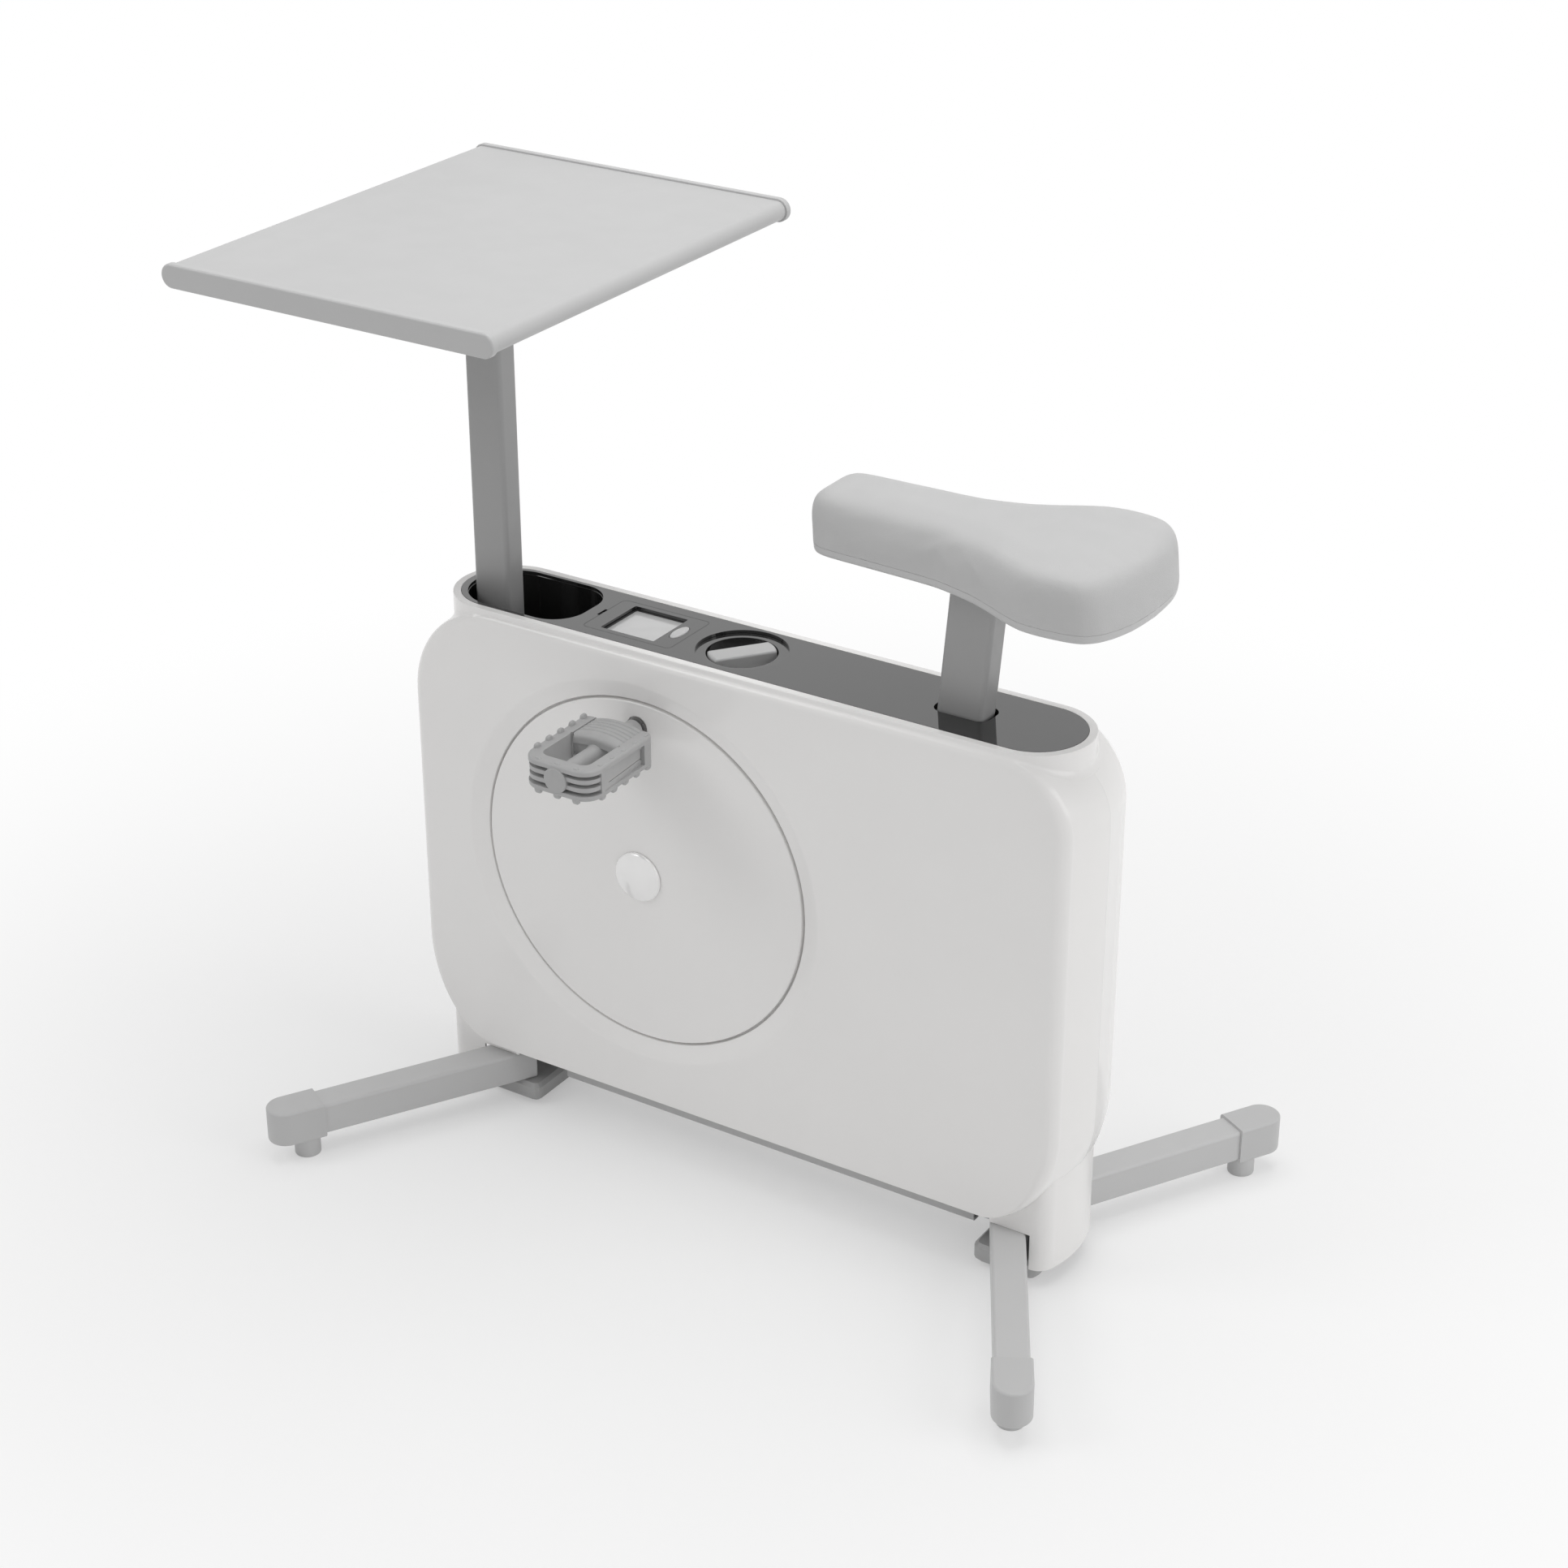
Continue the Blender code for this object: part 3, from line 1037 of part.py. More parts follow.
def make_crank(white, steel, dark, parent):
    """Axle, pulley, both round crank plates, their hub caps and the pedal spindles."""
    centre = (CRANK_X, CRANK_Z)
    axle = [(0, -AXLE_END_Y), (AXLE_RADIUS, -AXLE_END_Y), (AXLE_RADIUS, AXLE_END_Y), (0, AXLE_END_Y)]
    add_object("crank_axle", turned(axle, centre, steps=24), steel, parent)
    add_object("drive_pulley", pulley_body(), dark, parent)
    for word, side in (("near", -1), ("far", 1)):
        make_disc(word, side, white, parent)
        base = DISC_EDGE_Y + DISC_CENTRE_RISE + GAP
        cap = [(0, base), (HUB_CAP_RADIUS, base)]
        for angle in (15, 40, 65):
            swing = math.radians(angle)
            cap.append((HUB_CAP_RADIUS * math.cos(swing), base + HUB_CAP_RISE * math.sin(swing)))
        cap.append((0, base + HUB_CAP_RISE))
        add_object(word + "_hub_cap", turned(cap, centre, steps=ROUND_MIDDLE, sign=side), white, parent)
        make_spindle(word, side, steel, parent)


def pulley_body():
    """The crank's pulley: hub, thin web and a rim with two flanges."""
    low = PULLEY_Y - PULLEY_HALF
    high = PULLEY_Y + PULLEY_HALF
    lip = PULLEY_RADIUS + PULLEY_FLANGE
    flange = PULLEY_FLANGE / 2
    inner = PULLEY_RADIUS - PULLEY_RIM
    web = PULLEY_WEB / 2
    bore = AXLE_RADIUS + GAP
    hub = AXLE_RADIUS * 2
    profile = [(bore, low), (hub, low), (hub, PULLEY_Y - web), (inner, PULLEY_Y - web), (inner, low),
               (lip, low),
               (PULLEY_RADIUS, low + flange), (PULLEY_RADIUS, high - flange), (lip, high), (inner, high),
               (inner, PULLEY_Y + web), (hub, PULLEY_Y + web), (hub, high), (bore, high)]
    return turned(profile, (CRANK_X, CRANK_Z), steps=ROUND_MIDDLE)


def pedal_place(side):
    """Centre of a pedal's axle in x, z. At rest the near pedal is up and the far one down."""
    lean = side * CRANK_RADIUS * math.sin(CRANK_LEAN)
    return (CRANK_X + lean, CRANK_Z - side * CRANK_RADIUS * math.cos(CRANK_LEAN))


def make_disc(word, side, white, parent):
    """The round plate that turns as the crank, with its boss and the pedal's socket."""
    back = DISC_EDGE_Y - DISC_THICK
    face = DISC_EDGE_Y + DISC_CENTRE_RISE
    bore = AXLE_RADIUS + GAP
    inner = FRAME_PLATE_Y + BEARING_WIDTH + RUN
    profile = [(bore, inner), (HUB_BOSS_RADIUS, inner), (HUB_BOSS_RADIUS, back), (DISC_RADIUS, back),
               (DISC_RADIUS, DISC_EDGE_Y - DISC_EDGE), (DISC_RADIUS - DISC_EDGE, DISC_EDGE_Y),
               (DISC_FLAT_RADIUS, face), (bore, face)]
    body = turned(profile, (CRANK_X, CRANK_Z), steps=ROUND_DISC, sign=side)
    disc = add_object(word + "_crank_disc", body, white, parent)
    place = pedal_place(side)
    low, high = side * (back - DISC_THICK), side * (face + DISC_THICK)
    floor = side * (DISC_EDGE_Y - SOCKET_DEPTH)
    cut(disc, prism(circle(place, SOCKET_RADIUS, 24), floor, high, "y"))
    cut(disc, prism(circle(place, SPINDLE_RADIUS + GAP, ROUND_SMALL), low, high, "y"))


def make_spindle(word, side, steel, parent):
    back = DISC_EDGE_Y - DISC_THICK
    seat = DISC_EDGE_Y - SOCKET_DEPTH + GAP
    tip = PEDAL_OUTER_Y - PEDAL_BORE_END - RUN
    collar = seat + SPINDLE_COLLAR[1]
    profile = [(0, back), (SPINDLE_RADIUS, back), (SPINDLE_RADIUS, seat), (SPINDLE_COLLAR[0], seat),
               (SPINDLE_COLLAR[0], collar), (SPINDLE_RADIUS, collar), (SPINDLE_RADIUS, tip), (0, tip)]
    spindle = turned(profile, pedal_place(side), steps=ROUND_SMALL, sign=side)
    add_object(word + "_pedal_spindle", spindle, steel, parent)


def pedal_outline():
    """Plan of the pedal in x, y with y outward: round outer corners, small inner ones."""
    low = (-PEDAL_HALF, PEDAL_INNER_Y)
    radii = (PEDAL_INNER_RADIUS, PEDAL_INNER_RADIUS, PEDAL_OUTER_RADIUS, PEDAL_OUTER_RADIUS)
    return rounded_box(low, (PEDAL_HALF, PEDAL_OUTER_Y), radii, 4)


def make_pedal(word, side, plastic, parent):
    """A moulded pedal: a louvred and toothed rail in a U, the block across it, the axle tube and its boss."""
    place = pedal_place(side)
    frame = Matrix.Translation((place[0], 0, place[1])) @ Matrix.Scale(side, 4, (0, 1, 0))
    half = PEDAL_HEIGHT / 2
    body = add_object(word + "_pedal", moved(prism(pedal_outline(), -half, half), frame), plastic, parent)
    cut(body, moved(pedal_window(half), frame))
    cut(body, moved(pedal_louvres(half), frame))
    cut(body, moved(pedal_block(half), frame), "UNION")
    cut(body, moved(pedal_barrel(), frame), "UNION")
    start = PEDAL_BARREL_END_Y - PEDAL_BORE_END
    bore = [(0, start), (SPINDLE_RADIUS + RUN, start), (SPINDLE_RADIUS + RUN, PEDAL_OUTER_Y - PEDAL_BORE_END),
            (0, PEDAL_OUTER_Y - PEDAL_BORE_END)]
    cut(body, moved(turned(bore, (0, 0), steps=ROUND_SMALL), frame))
    cut(body, moved(pedal_teeth(half), frame), "UNION")
    return body


def pedal_window(half):
    """The space inside the rail, open at the crank's side."""
    low = (-PEDAL_HALF + PEDAL_RAIL, PEDAL_INNER_Y - PAST)
    high = (PEDAL_HALF - PEDAL_RAIL, PEDAL_OUTER_Y - PEDAL_RAIL)
    outer = PEDAL_OUTER_RADIUS / 2
    outline = rounded_box(low, high, (PAST / 2, PAST / 2, outer, outer), 3)
    return prism(outline, -half - PAST, half + PAST)


def pedal_block(half):
    """The grooved block between the rails: arched over the axle, with a round lip over a recess outside."""
    wide = PEDAL_HALF - PEDAL_RAIL / 2
    outer = PEDAL_INNER_Y + PEDAL_BLOCK_DEPTH
    inner = PEDAL_INNER_Y + PEDAL_BLOCK_SINK
    pitch = (outer - PEDAL_BLOCK_EDGE - inner) / (PEDAL_GROOVES + 1)
    stations = [(inner, 0.0)]
    for index in range(PEDAL_GROOVES):
        place = inner + pitch * (index + 1)
        stations.append((place - PEDAL_GROOVE_WIDTH / 2, 0.0))
        stations.append((place, PEDAL_GROOVE_DEPTH))
        stations.append((place + PEDAL_GROOVE_WIDTH / 2, 0.0))
    for angle in (0, 45, 90):
        swing = math.radians(angle)
        place = outer - PEDAL_BLOCK_EDGE * (1 - math.sin(swing))
        stations.append((place, PEDAL_BLOCK_EDGE * (1 - math.cos(swing))))
    bm = bmesh.new()
    rings = []
    shares = [1 - 2 * step / PEDAL_BLOCK_STEPS for step in range(PEDAL_BLOCK_STEPS + 1)]
    for y, drop in stations:
        level = half - PEDAL_BLOCK_SINK - drop
        face = [(wide * share, level + PEDAL_CROWN * (1 - share ** 2)) for share in shares]
        rings.append([bm.verts.new((x, y, z)) for x, z in face + [(-x, -z) for x, z in face]])
    inside = PEDAL_HALF - PEDAL_RAIL + GAP
    for y in (outer, outer - PEDAL_LIP):
        face = [(inside * share, PEDAL_RECESS + PEDAL_RECESS_CROWN * (1 - share ** 2)) for share in shares]
        rings.append([bm.verts.new((x, y, z)) for x, z in face + [(-x, -z) for x, z in face]])
    bridge(bm, rings)
    return bm


def pedal_louvres(half):
    """The slots round the outer end and the sunk panels along the sides, deepest at the crank's side."""
    straight = PEDAL_OUTER_Y - PEDAL_OUTER_RADIUS
    band = (PEDAL_HEIGHT - 2 * PEDAL_RING) / (2 * PEDAL_SLOTS - 1)
    cutters = []
    for index in range(PEDAL_SLOTS):
        low = -half + PEDAL_RING + 2 * index * band
        cutters.append(prism(louvre_plan(straight), low, low + band))
    deep = PEDAL_HALF - PEDAL_PANEL_DEPTH
    start = PEDAL_INNER_Y + PEDAL_PANEL_START
    far = straight - PEDAL_TOOTH[1]
    out = PEDAL_HALF + PAST
    for end in (-1, 1):
        plan = [(end * deep, start), (end * out, start), (end * out, far), (end * (PEDAL_HALF - GAP), far)]
        cutters.append(prism(plan, -half + PEDAL_RING, half - PEDAL_RING))
    return joined(*cutters)


def louvre_plan(straight):
    """Plan of one slot's cutter: what lies outside the outer end, and a little way into it."""
    radius = PEDAL_OUTER_RADIUS
    inner = radius - PEDAL_SLOT_DEPTH
    reach = PEDAL_HALF + PAST
    far = PEDAL_OUTER_Y + PAST
    points = [(-reach, straight), (-reach, far), (reach, far), (reach, straight)]
    points += arc((PEDAL_HALF - radius, straight), inner, 0, math.pi / 2, 4)
    return points + arc((-PEDAL_HALF + radius, straight), inner, math.pi / 2, math.pi, 4)


def pedal_barrel():
    """The barrel at the crank, the waisted axle tube and the round boss in the outer end."""
    inner = PEDAL_INNER_Y + PEDAL_BLOCK_DEPTH - PEDAL_LIP
    far = PEDAL_OUTER_Y - PEDAL_RAIL
    waist, large = PEDAL_TUBE_RADII
    flare = 2 * (large - waist)
    end = PEDAL_OUTER_Y - PEDAL_END_SINK
    hidden = PEDAL_INNER_Y + PEDAL_BLOCK_EDGE
    profile = [(0, PEDAL_BARREL_END_Y), (PEDAL_BARREL_RADIUS, PEDAL_BARREL_END_Y),
               (PEDAL_BARREL_RADIUS, hidden), (large, hidden), (large, inner), (waist, inner + flare),
               (waist, far - flare), (large, far), (PEDAL_END_RADIUS, far + GAP), (PEDAL_END_RADIUS, end),
               (0, end)]
    return turned(profile, (0, 0), steps=16)


def pedal_teeth(half):
    """Blunt teeth along the top of the leading rail and under the trailing rail and the outer end."""
    long, wide = PEDAL_TOOTH
    first = PEDAL_INNER_Y + PEDAL_INNER_RADIUS + long / 2
    pitch = (PEDAL_OUTER_Y - PEDAL_OUTER_RADIUS - long / 2 - first) / (PEDAL_TEETH - 1)
    side_x = PEDAL_HALF - wide / 2 + GAP
    teeth = []
    for index in range(PEDAL_TEETH):
        place = first + pitch * index
        teeth.append(tooth((-side_x, place), (wide, long), 1, half))
        teeth.append(tooth((side_x, place), (wide, long), -1, half))
    for step in (-1, 0, 1):
        teeth.append(tooth((step * PEDAL_END_PITCH, PEDAL_OUTER_Y - wide), (long, wide), -1, half))
    return joined(*teeth)


def tooth(place, size, level, half):
    """One tooth, sunk as deep in the rail as it stands out of it, narrower at its tip."""
    low = (place[0] - size[0] / 2, place[1] - size[1] / 2, half - PEDAL_TOOTH_RISE)
    bm = box(low, (place[0] + size[0] / 2, place[1] + size[1] / 2, half + PEDAL_TOOTH_RISE))
    for vert in bm.verts:
        if vert.co.z > half:
            vert.co.x = place[0] + (vert.co.x - place[0]) * PEDAL_TOOTH_TIP
            vert.co.y = place[1] + (vert.co.y - place[1]) * PEDAL_TOOTH_TIP
        vert.co.z *= level
    return bm


def make_flywheel(iron, steel, parent, body_parent):
    """The flywheel with its small pulley in one casting, and the fixed axle it turns on."""
    low, high = FLYWHEEL_Y
    middle = (low + high) / 2
    web = FLYWHEEL_WEB / 2
    bore = FLYWHEEL_AXLE_RADIUS + RUN
    rim = FLYWHEEL_RADIUS - FLYWHEEL_RIM
    hub = FLYWHEEL_AXLE_RADIUS * 2
    start = PULLEY_Y - PULLEY_HALF
    end = PULLEY_Y + PULLEY_HALF
    small = FLYWHEEL_PULLEY_RADIUS
    profile = [(bore, start), (small + PULLEY_FLANGE / 2, start), (small, start + PULLEY_FLANGE / 2),
               (small, end),
               (hub, end), (hub, middle - web), (rim, middle - web), (rim, low), (FLYWHEEL_RADIUS, low),
               (FLYWHEEL_RADIUS, high), (rim, high), (rim, middle + web), (hub, middle + web), (hub, high),
               (bore, high)]
    add_object("flywheel", turned(profile, (FLYWHEEL_X, FLYWHEEL_Z), steps=ROUND_MIDDLE), iron, parent)
    reach = FRAME_PLATE_Y + FRAME_PLATE_THICK
    head = FLYWHEEL_AXLE_RADIUS + AXLE_HEAD
    radius = FLYWHEEL_AXLE_RADIUS
    profile = [(0, -reach - AXLE_HEAD), (head, -reach - AXLE_HEAD), (head, -reach - GAP),
               (radius, -reach - GAP),
               (radius, reach + AXLE_HEAD), (0, reach + AXLE_HEAD)]
    body = turned(profile, (FLYWHEEL_X, FLYWHEEL_Z), steps=ROUND_SMALL)
    add_object("flywheel_axle", body, steel, body_parent)


def belt_loop(spare):
    """Outline of a belt run round both pulleys, a set distance off them."""
    first = Vector((CRANK_X, CRANK_Z))
    second = Vector((FLYWHEEL_X, FLYWHEEL_Z))
    big = PULLEY_RADIUS + spare
    small = FLYWHEEL_PULLEY_RADIUS + spare
    apart = second - first
    heading = math.atan2(apart.y, apart.x)
    lean = math.acos((big - small) / apart.length)
    points = arc(first, big, heading + lean, heading - lean + 2 * math.pi, 22)
    return points + arc(second, small, heading - lean, heading + lean, 8)


def make_belt(rubber, parent):
    width = PULLEY_HALF - PULLEY_FLANGE / 2 - GAP
    low, high = PULLEY_Y - width, PULLEY_Y + width
    slack = PULLEY_RADIUS * (1 / math.cos(math.pi / ROUND_MIDDLE) - 1) * 0.25 + GAP
    belt = add_object("drive_belt", prism(belt_loop(slack + BELT_THICK), low, high, "y"), rubber, parent)
    cut(belt, prism(belt_loop(slack), low - BELT_THICK, high + BELT_THICK, "y"))


def make_brake(steel, parent):
    """The arm that carries the brake's magnets over the flywheel's rim, with its pivot eye and cam tab."""
    centre = (FLYWHEEL_X, FLYWHEEL_Z)
    low, high = FLYWHEEL_Y
    outer = arc(centre, BRAKE_RADIUS + BRAKE_THICK / 2, BRAKE_START, BRAKE_END, 12)
    inner = arc(centre, BRAKE_RADIUS - BRAKE_THICK / 2, BRAKE_END, BRAKE_START, 12)
    arm = add_object("brake_arm", prism(outer + inner, low, high, "y"), steel, parent)
    pivot = brake_pivot()
    top = brake_tab_top()
    tip = FLYWHEEL_X + BRAKE_RADIUS * math.cos(BRAKE_END) + BRAKE_THICK / 2
    tab = box((KNOB_X - BRAKE_TAB[0] / 2, low, top - BRAKE_TAB[1]), (tip, high, top))
    eye = prism(circle(pivot, BRAKE_EYE_RADIUS, 20), low, high, "y")
    cut(arm, joined(tab, eye), "UNION")
    hole = circle(pivot, BRAKE_EYE_RADIUS / 2, ROUND_SMALL)
    cut(arm, prism(hole, low - BRAKE_THICK, high + BRAKE_THICK, "y"))


def brake_tab_top():
    """Height of the tab that the knob's cam works."""
    return FLYWHEEL_Z + BRAKE_RADIUS * math.sin(BRAKE_END)


def brake_pivot():
    reach = BRAKE_RADIUS
    return (FLYWHEEL_X + reach * math.cos(BRAKE_START), FLYWHEEL_Z + reach * math.sin(BRAKE_START))


def build():
    clear_scene()
    white = make_material("white_shell", (0.85, 0.85, 0.85), 0.25)
    dark = make_material("dark_deck", (0.02, 0.02, 0.02), 0.2)
    post_grey = make_material("post_grey", (0.36, 0.36, 0.36), 0.45)
    leg_grey = make_material("leg_grey", (0.45, 0.45, 0.45), 0.5)
    pale = make_material("pale_grey", (0.58, 0.58, 0.58), 0.6)
    pad = make_material("saddle_pad", (0.58, 0.58, 0.58), 0.7)
    steel = make_material("steel", (0.5, 0.5, 0.5), 0.35, 1.0)
    iron = make_material("iron", (0.25, 0.25, 0.26), 0.5, 1.0)
    rubber = make_material("rubber", (0.03, 0.03, 0.03), 0.8)
    glass = make_material("display_glass", (0.62, 0.62, 0.62), 0.15)

    bike = make_empty("bike", (-OUTLINE_MIDDLE, 0, 0))
    crank = make_empty("crank_turn", (CRANK_X, 0, CRANK_Z), bike)
    spin = make_empty("flywheel_turn", (FLYWHEEL_X, 0, FLYWHEEL_Z), bike)
    desk = make_empty("desk_slide", (DESK_POST_X, 0, DESK_TOP), bike)
    seat = make_empty("seat_slide", (SEAT_POST_X, 0, COLLAR_TOP), bike)
    knob = make_empty("knob_turn", (KNOB_X, 0, COLLAR_TOP), bike)
    button = make_empty("button_press", (BUTTON_X, 0, COLLAR_TOP), bike)
    pivot = brake_pivot()
    brake = make_empty("brake_swing", (pivot[0], 0, pivot[1]), bike)

    make_cover("near_cover", -1, white, bike)
    make_cover("far_cover", 1, white, bike)
    make_collar(white, bike)
    make_skirt("front_skirt", "front", white, bike)
    make_skirt("rear_skirt", "rear", white, bike)
    make_deck(dark, bike)
    make_pocket(dark, bike)
    make_display(dark, pale, glass, bike, button)
    make_knob_bezel(dark, bike)
    make_knob(pale, knob)
    make_beam(leg_grey, bike)
    for end_name, end in (("front", -1), ("rear", 1)):
        make_chassis(end_name, end, leg_grey, steel, bike)
        for side_name, side in (("near", -1), ("far", 1)):
            name = end_name + "_" + side_name
            place = leg_frame(end, side) @ Vector((FOOT_ALONG, 0, 0))
            foot = make_empty(name + "_foot_screw", place, bike)
            make_leg(name, end, side, (leg_grey, pale), bike, foot)
    make_desk_post(post_grey, dark, desk, bike)
    make_desk(pale, pale, steel, desk)
    make_saddle(pad, pale, post_grey, seat)
    make_seat_sleeve(dark, bike)
    for word, side in (("near", -1), ("far", 1)):
        make_frame_plate(word + "_frame_plate", side, steel, bike)
        make_bearing(word + "_crank_bearing", side, steel, bike)
        place = pedal_place(side)
        pedal = make_empty(word + "_pedal_turn", (place[0], 0, place[1]), bike)
        make_pedal(word, side, pale, pedal)
    make_crank(white, steel, dark, crank)
    make_flywheel(iron, steel, spin, bike)
    make_belt(rubber, bike)
    make_brake(steel, brake)
    bpy.context.view_layer.update()


build()
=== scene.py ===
import math

import bmesh
import bpy
from mathutils import Matrix, Vector


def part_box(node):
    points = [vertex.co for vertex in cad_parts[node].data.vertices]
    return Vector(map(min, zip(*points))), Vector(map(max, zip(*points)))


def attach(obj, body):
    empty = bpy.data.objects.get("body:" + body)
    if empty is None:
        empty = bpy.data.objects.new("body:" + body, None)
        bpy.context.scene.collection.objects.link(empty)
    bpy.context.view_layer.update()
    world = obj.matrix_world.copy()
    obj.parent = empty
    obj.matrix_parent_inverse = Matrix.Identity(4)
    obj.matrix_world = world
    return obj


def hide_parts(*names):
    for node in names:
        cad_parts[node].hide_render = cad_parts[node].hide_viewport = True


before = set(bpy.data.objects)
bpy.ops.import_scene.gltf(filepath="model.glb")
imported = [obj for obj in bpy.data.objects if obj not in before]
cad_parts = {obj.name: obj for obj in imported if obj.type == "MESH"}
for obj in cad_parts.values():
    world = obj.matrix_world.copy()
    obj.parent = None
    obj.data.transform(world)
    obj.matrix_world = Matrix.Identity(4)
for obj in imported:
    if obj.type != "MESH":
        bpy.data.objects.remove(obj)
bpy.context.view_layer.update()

# The studio. A white floor that keeps the soft shadows and fades into a white surround, which only the camera
# and reflections see, under three broad soft lamps. The camera stands before the near side, above the desk.


class Signal:
    """A shader socket that can be reckoned with: arithmetic on it adds Math nodes to its finish."""

    def __init__(self, finish, socket):
        self.finish = finish
        self.socket = socket

    def math(self, operation, first, second=0.0):
        return self.finish.node("ShaderNodeMath", {"operation": operation}, {0: first, 1: second})

    def __add__(self, other):
        return self.math("ADD", self, other)

    def __radd__(self, other):
        return self.math("ADD", other, self)

    def __sub__(self, other):
        return self.math("SUBTRACT", self, other)

    def __rsub__(self, other):
        return self.math("SUBTRACT", other, self)

    def __mul__(self, other):
        return self.math("MULTIPLY", self, other)

    def __rmul__(self, other):
        return self.math("MULTIPLY", other, self)


class Finish:
    """The nodes of a material, or of the surround."""

    def __init__(self, name, owner=None):
        self.owner = owner or bpy.data.materials.new(name)
        self.owner.use_nodes = True
        self.tree = self.owner.node_tree
        self.tree.nodes.clear()

    def node(self, kind, settings=None, sockets=None, output=0):
        """Any node: its settings first, then the values or links of its sockets."""
        node = self.tree.nodes.new(kind)
        for key, value in (settings or {}).items():
            setattr(node, key, value)
        for key, value in (sockets or {}).items():
            if isinstance(value, Signal):
                self.tree.links.new(value.socket, node.inputs[key])
            else:
                node.inputs[key].default_value = value
        return Signal(self, node.outputs[output]) if node.outputs else None

    def where(self):
        """The point of the surface in the object's own coordinates, in metres."""
        return self.node("ShaderNodeTexCoord", output="Object")

    def noise(self, size, detail=2.0, stretch=(1, 1, 1)):
        """Soft random variation, 0 to 1, whose patches are about size metres across."""
        place = self.node("ShaderNodeMapping", None, {"Vector": self.where(), "Scale": stretch})
        sockets = {"Vector": place, "Scale": 1 / size, "Detail": detail}
        return self.node("ShaderNodeTexNoise", None, sockets, "Fac")

    def grade(self, value, low, high, first=0.0, last=1.0):
        """Turns a value's range into another, softly and clamped."""
        sockets = {"Value": value, "From Min": low, "From Max": high, "To Min": first, "To Max": last}
        return self.node("ShaderNodeMapRange", {"interpolation_type": "SMOOTHSTEP"}, sockets)

    def wander(self, size, first=0.0, last=1.0, detail=3.0):
        """A value that drifts between two over patches of this size."""
        return self.grade(self.noise(size, detail), 0.3, 0.7, first, last)

    def blend(self, factor, first, second):
        """One colour turning into another."""
        return self.node("ShaderNodeMix", {"data_type": "RGBA"}, {0: factor, 6: first, 7: second}, 2)

    def clouds(self, size, first, last, detail=3.0, warmth=0.0):
        """A near neutral colour that drifts between two levels over patches of this size."""
        return self.blend(self.noise(size, detail), grey(first, warmth), grey(last, warmth))

    def bump(self, height, depth, under=None):
        sockets = {"Height": height, "Distance": depth}
        if under is not None:
            sockets["Normal"] = under
        return self.node("ShaderNodeBump", None, sockets, "Normal")

    def surface(self, **sockets):
        """The shader itself. A socket is named with a lower line for each space."""
        named = {key.replace("_", " ").title().replace("Ior", "IOR"): value for key, value in sockets.items()}
        shader = self.node("ShaderNodeBsdfPrincipled", None, named)
        self.node("ShaderNodeOutputMaterial", None, {"Surface": shader})
        return self.owner


def grey(level, warmth=0.0):
    """A near neutral colour from its value on screen, 0 to 255. Warmth shifts red up and blue down."""
    colour = []
    for shift in (warmth, 0.0, -warmth):
        share = (level + shift) / 255
        colour.append(share / 12.92 if share <= 0.04045 else ((share + 0.055) / 1.055) ** 2.4)
    return (*colour, 1.0)


scene = bpy.context.scene
scene.view_settings.view_transform = "Standard"

camera_data = bpy.data.cameras.new("camera")
camera_data.lens = 73.62
camera_data.clip_end = 50.0
camera = bpy.data.objects.new("camera", camera_data)
camera.location = (1.5836, -2.4052, 1.9070)
camera.rotation_euler = (math.radians(63.0), 0.0, math.radians(32.52))
scene.collection.objects.link(camera)
scene.camera = camera


def lamp(name, place, size, power):
    """A broad square lamp aimed at the bike's middle."""
    data = bpy.data.lights.new(name, "AREA")
    data.shape = "RECTANGLE"
    data.size = data.size_y = size
    data.energy = power
    rig = bpy.data.objects.new(name, data)
    rig.location = place
    rig.rotation_euler = (Vector((0, 0, 0.4)) - Vector(place)).to_track_quat("-Z", "Y").to_euler()
    scene.collection.objects.link(rig)


lamp("key_lamp", (-2.0, -1.9, 2.7), 1.4, 17)
lamp("fill_lamp", (2.8, 0.2, 1.5), 1.8, 17)
lamp("top_lamp", (0.2, 0.3, 3.0), 2.4, 32)


def seen_ray(finish):
    """1 for what the camera or a reflection sees, 0 for the light that falls on the object."""
    rays = [finish.node("ShaderNodeLightPath", output=word + " Ray")
            for word in ("Is Camera", "Is Glossy", "Is Transmission")]
    return rays[0] + rays[1] + rays[2]


WHITE = (1.0, 1.0, 1.0, 1.0)
surround = Finish("studio", bpy.data.worlds.new("studio"))
lit = surround.node("ShaderNodeBackground", None, {"Color": WHITE, "Strength": 0.44})
plain_white = surround.node("ShaderNodeBackground", None, {"Color": WHITE, "Strength": 1.0})
either = surround.node("ShaderNodeMixShader", None, {0: seen_ray(surround), 1: lit, 2: plain_white})
surround.node("ShaderNodeOutputWorld", None, {"Surface": either})
scene.world = surround.owner

floor_bm = bmesh.new()
bmesh.ops.create_grid(floor_bm, x_segments=1, y_segments=1, size=9.0)
floor_mesh = bpy.data.meshes.new("floor")
floor_bm.to_mesh(floor_mesh)
floor_bm.free()
floor = bpy.data.objects.new("floor", floor_mesh)
scene.collection.objects.link(floor)
paper = Finish("floor_white")
distance = paper.node("ShaderNodeVectorMath", {"operation": "LENGTH"}, {0: paper.where()}, "Value")
far_off = paper.grade(distance, 0.30, 1.6, 0.35, 1.0) * seen_ray(paper)
matt = paper.node("ShaderNodeBsdfDiffuse", None, {"Color": grey(250)})
glow = paper.node("ShaderNodeEmission", None, {"Color": WHITE, "Strength": 1.0})
fading = paper.node("ShaderNodeMixShader", None, {0: far_off, 1: matt, 2: glow})
paper.node("ShaderNodeOutputMaterial", None, {"Surface": fading})
floor.data.materials.append(paper.owner)


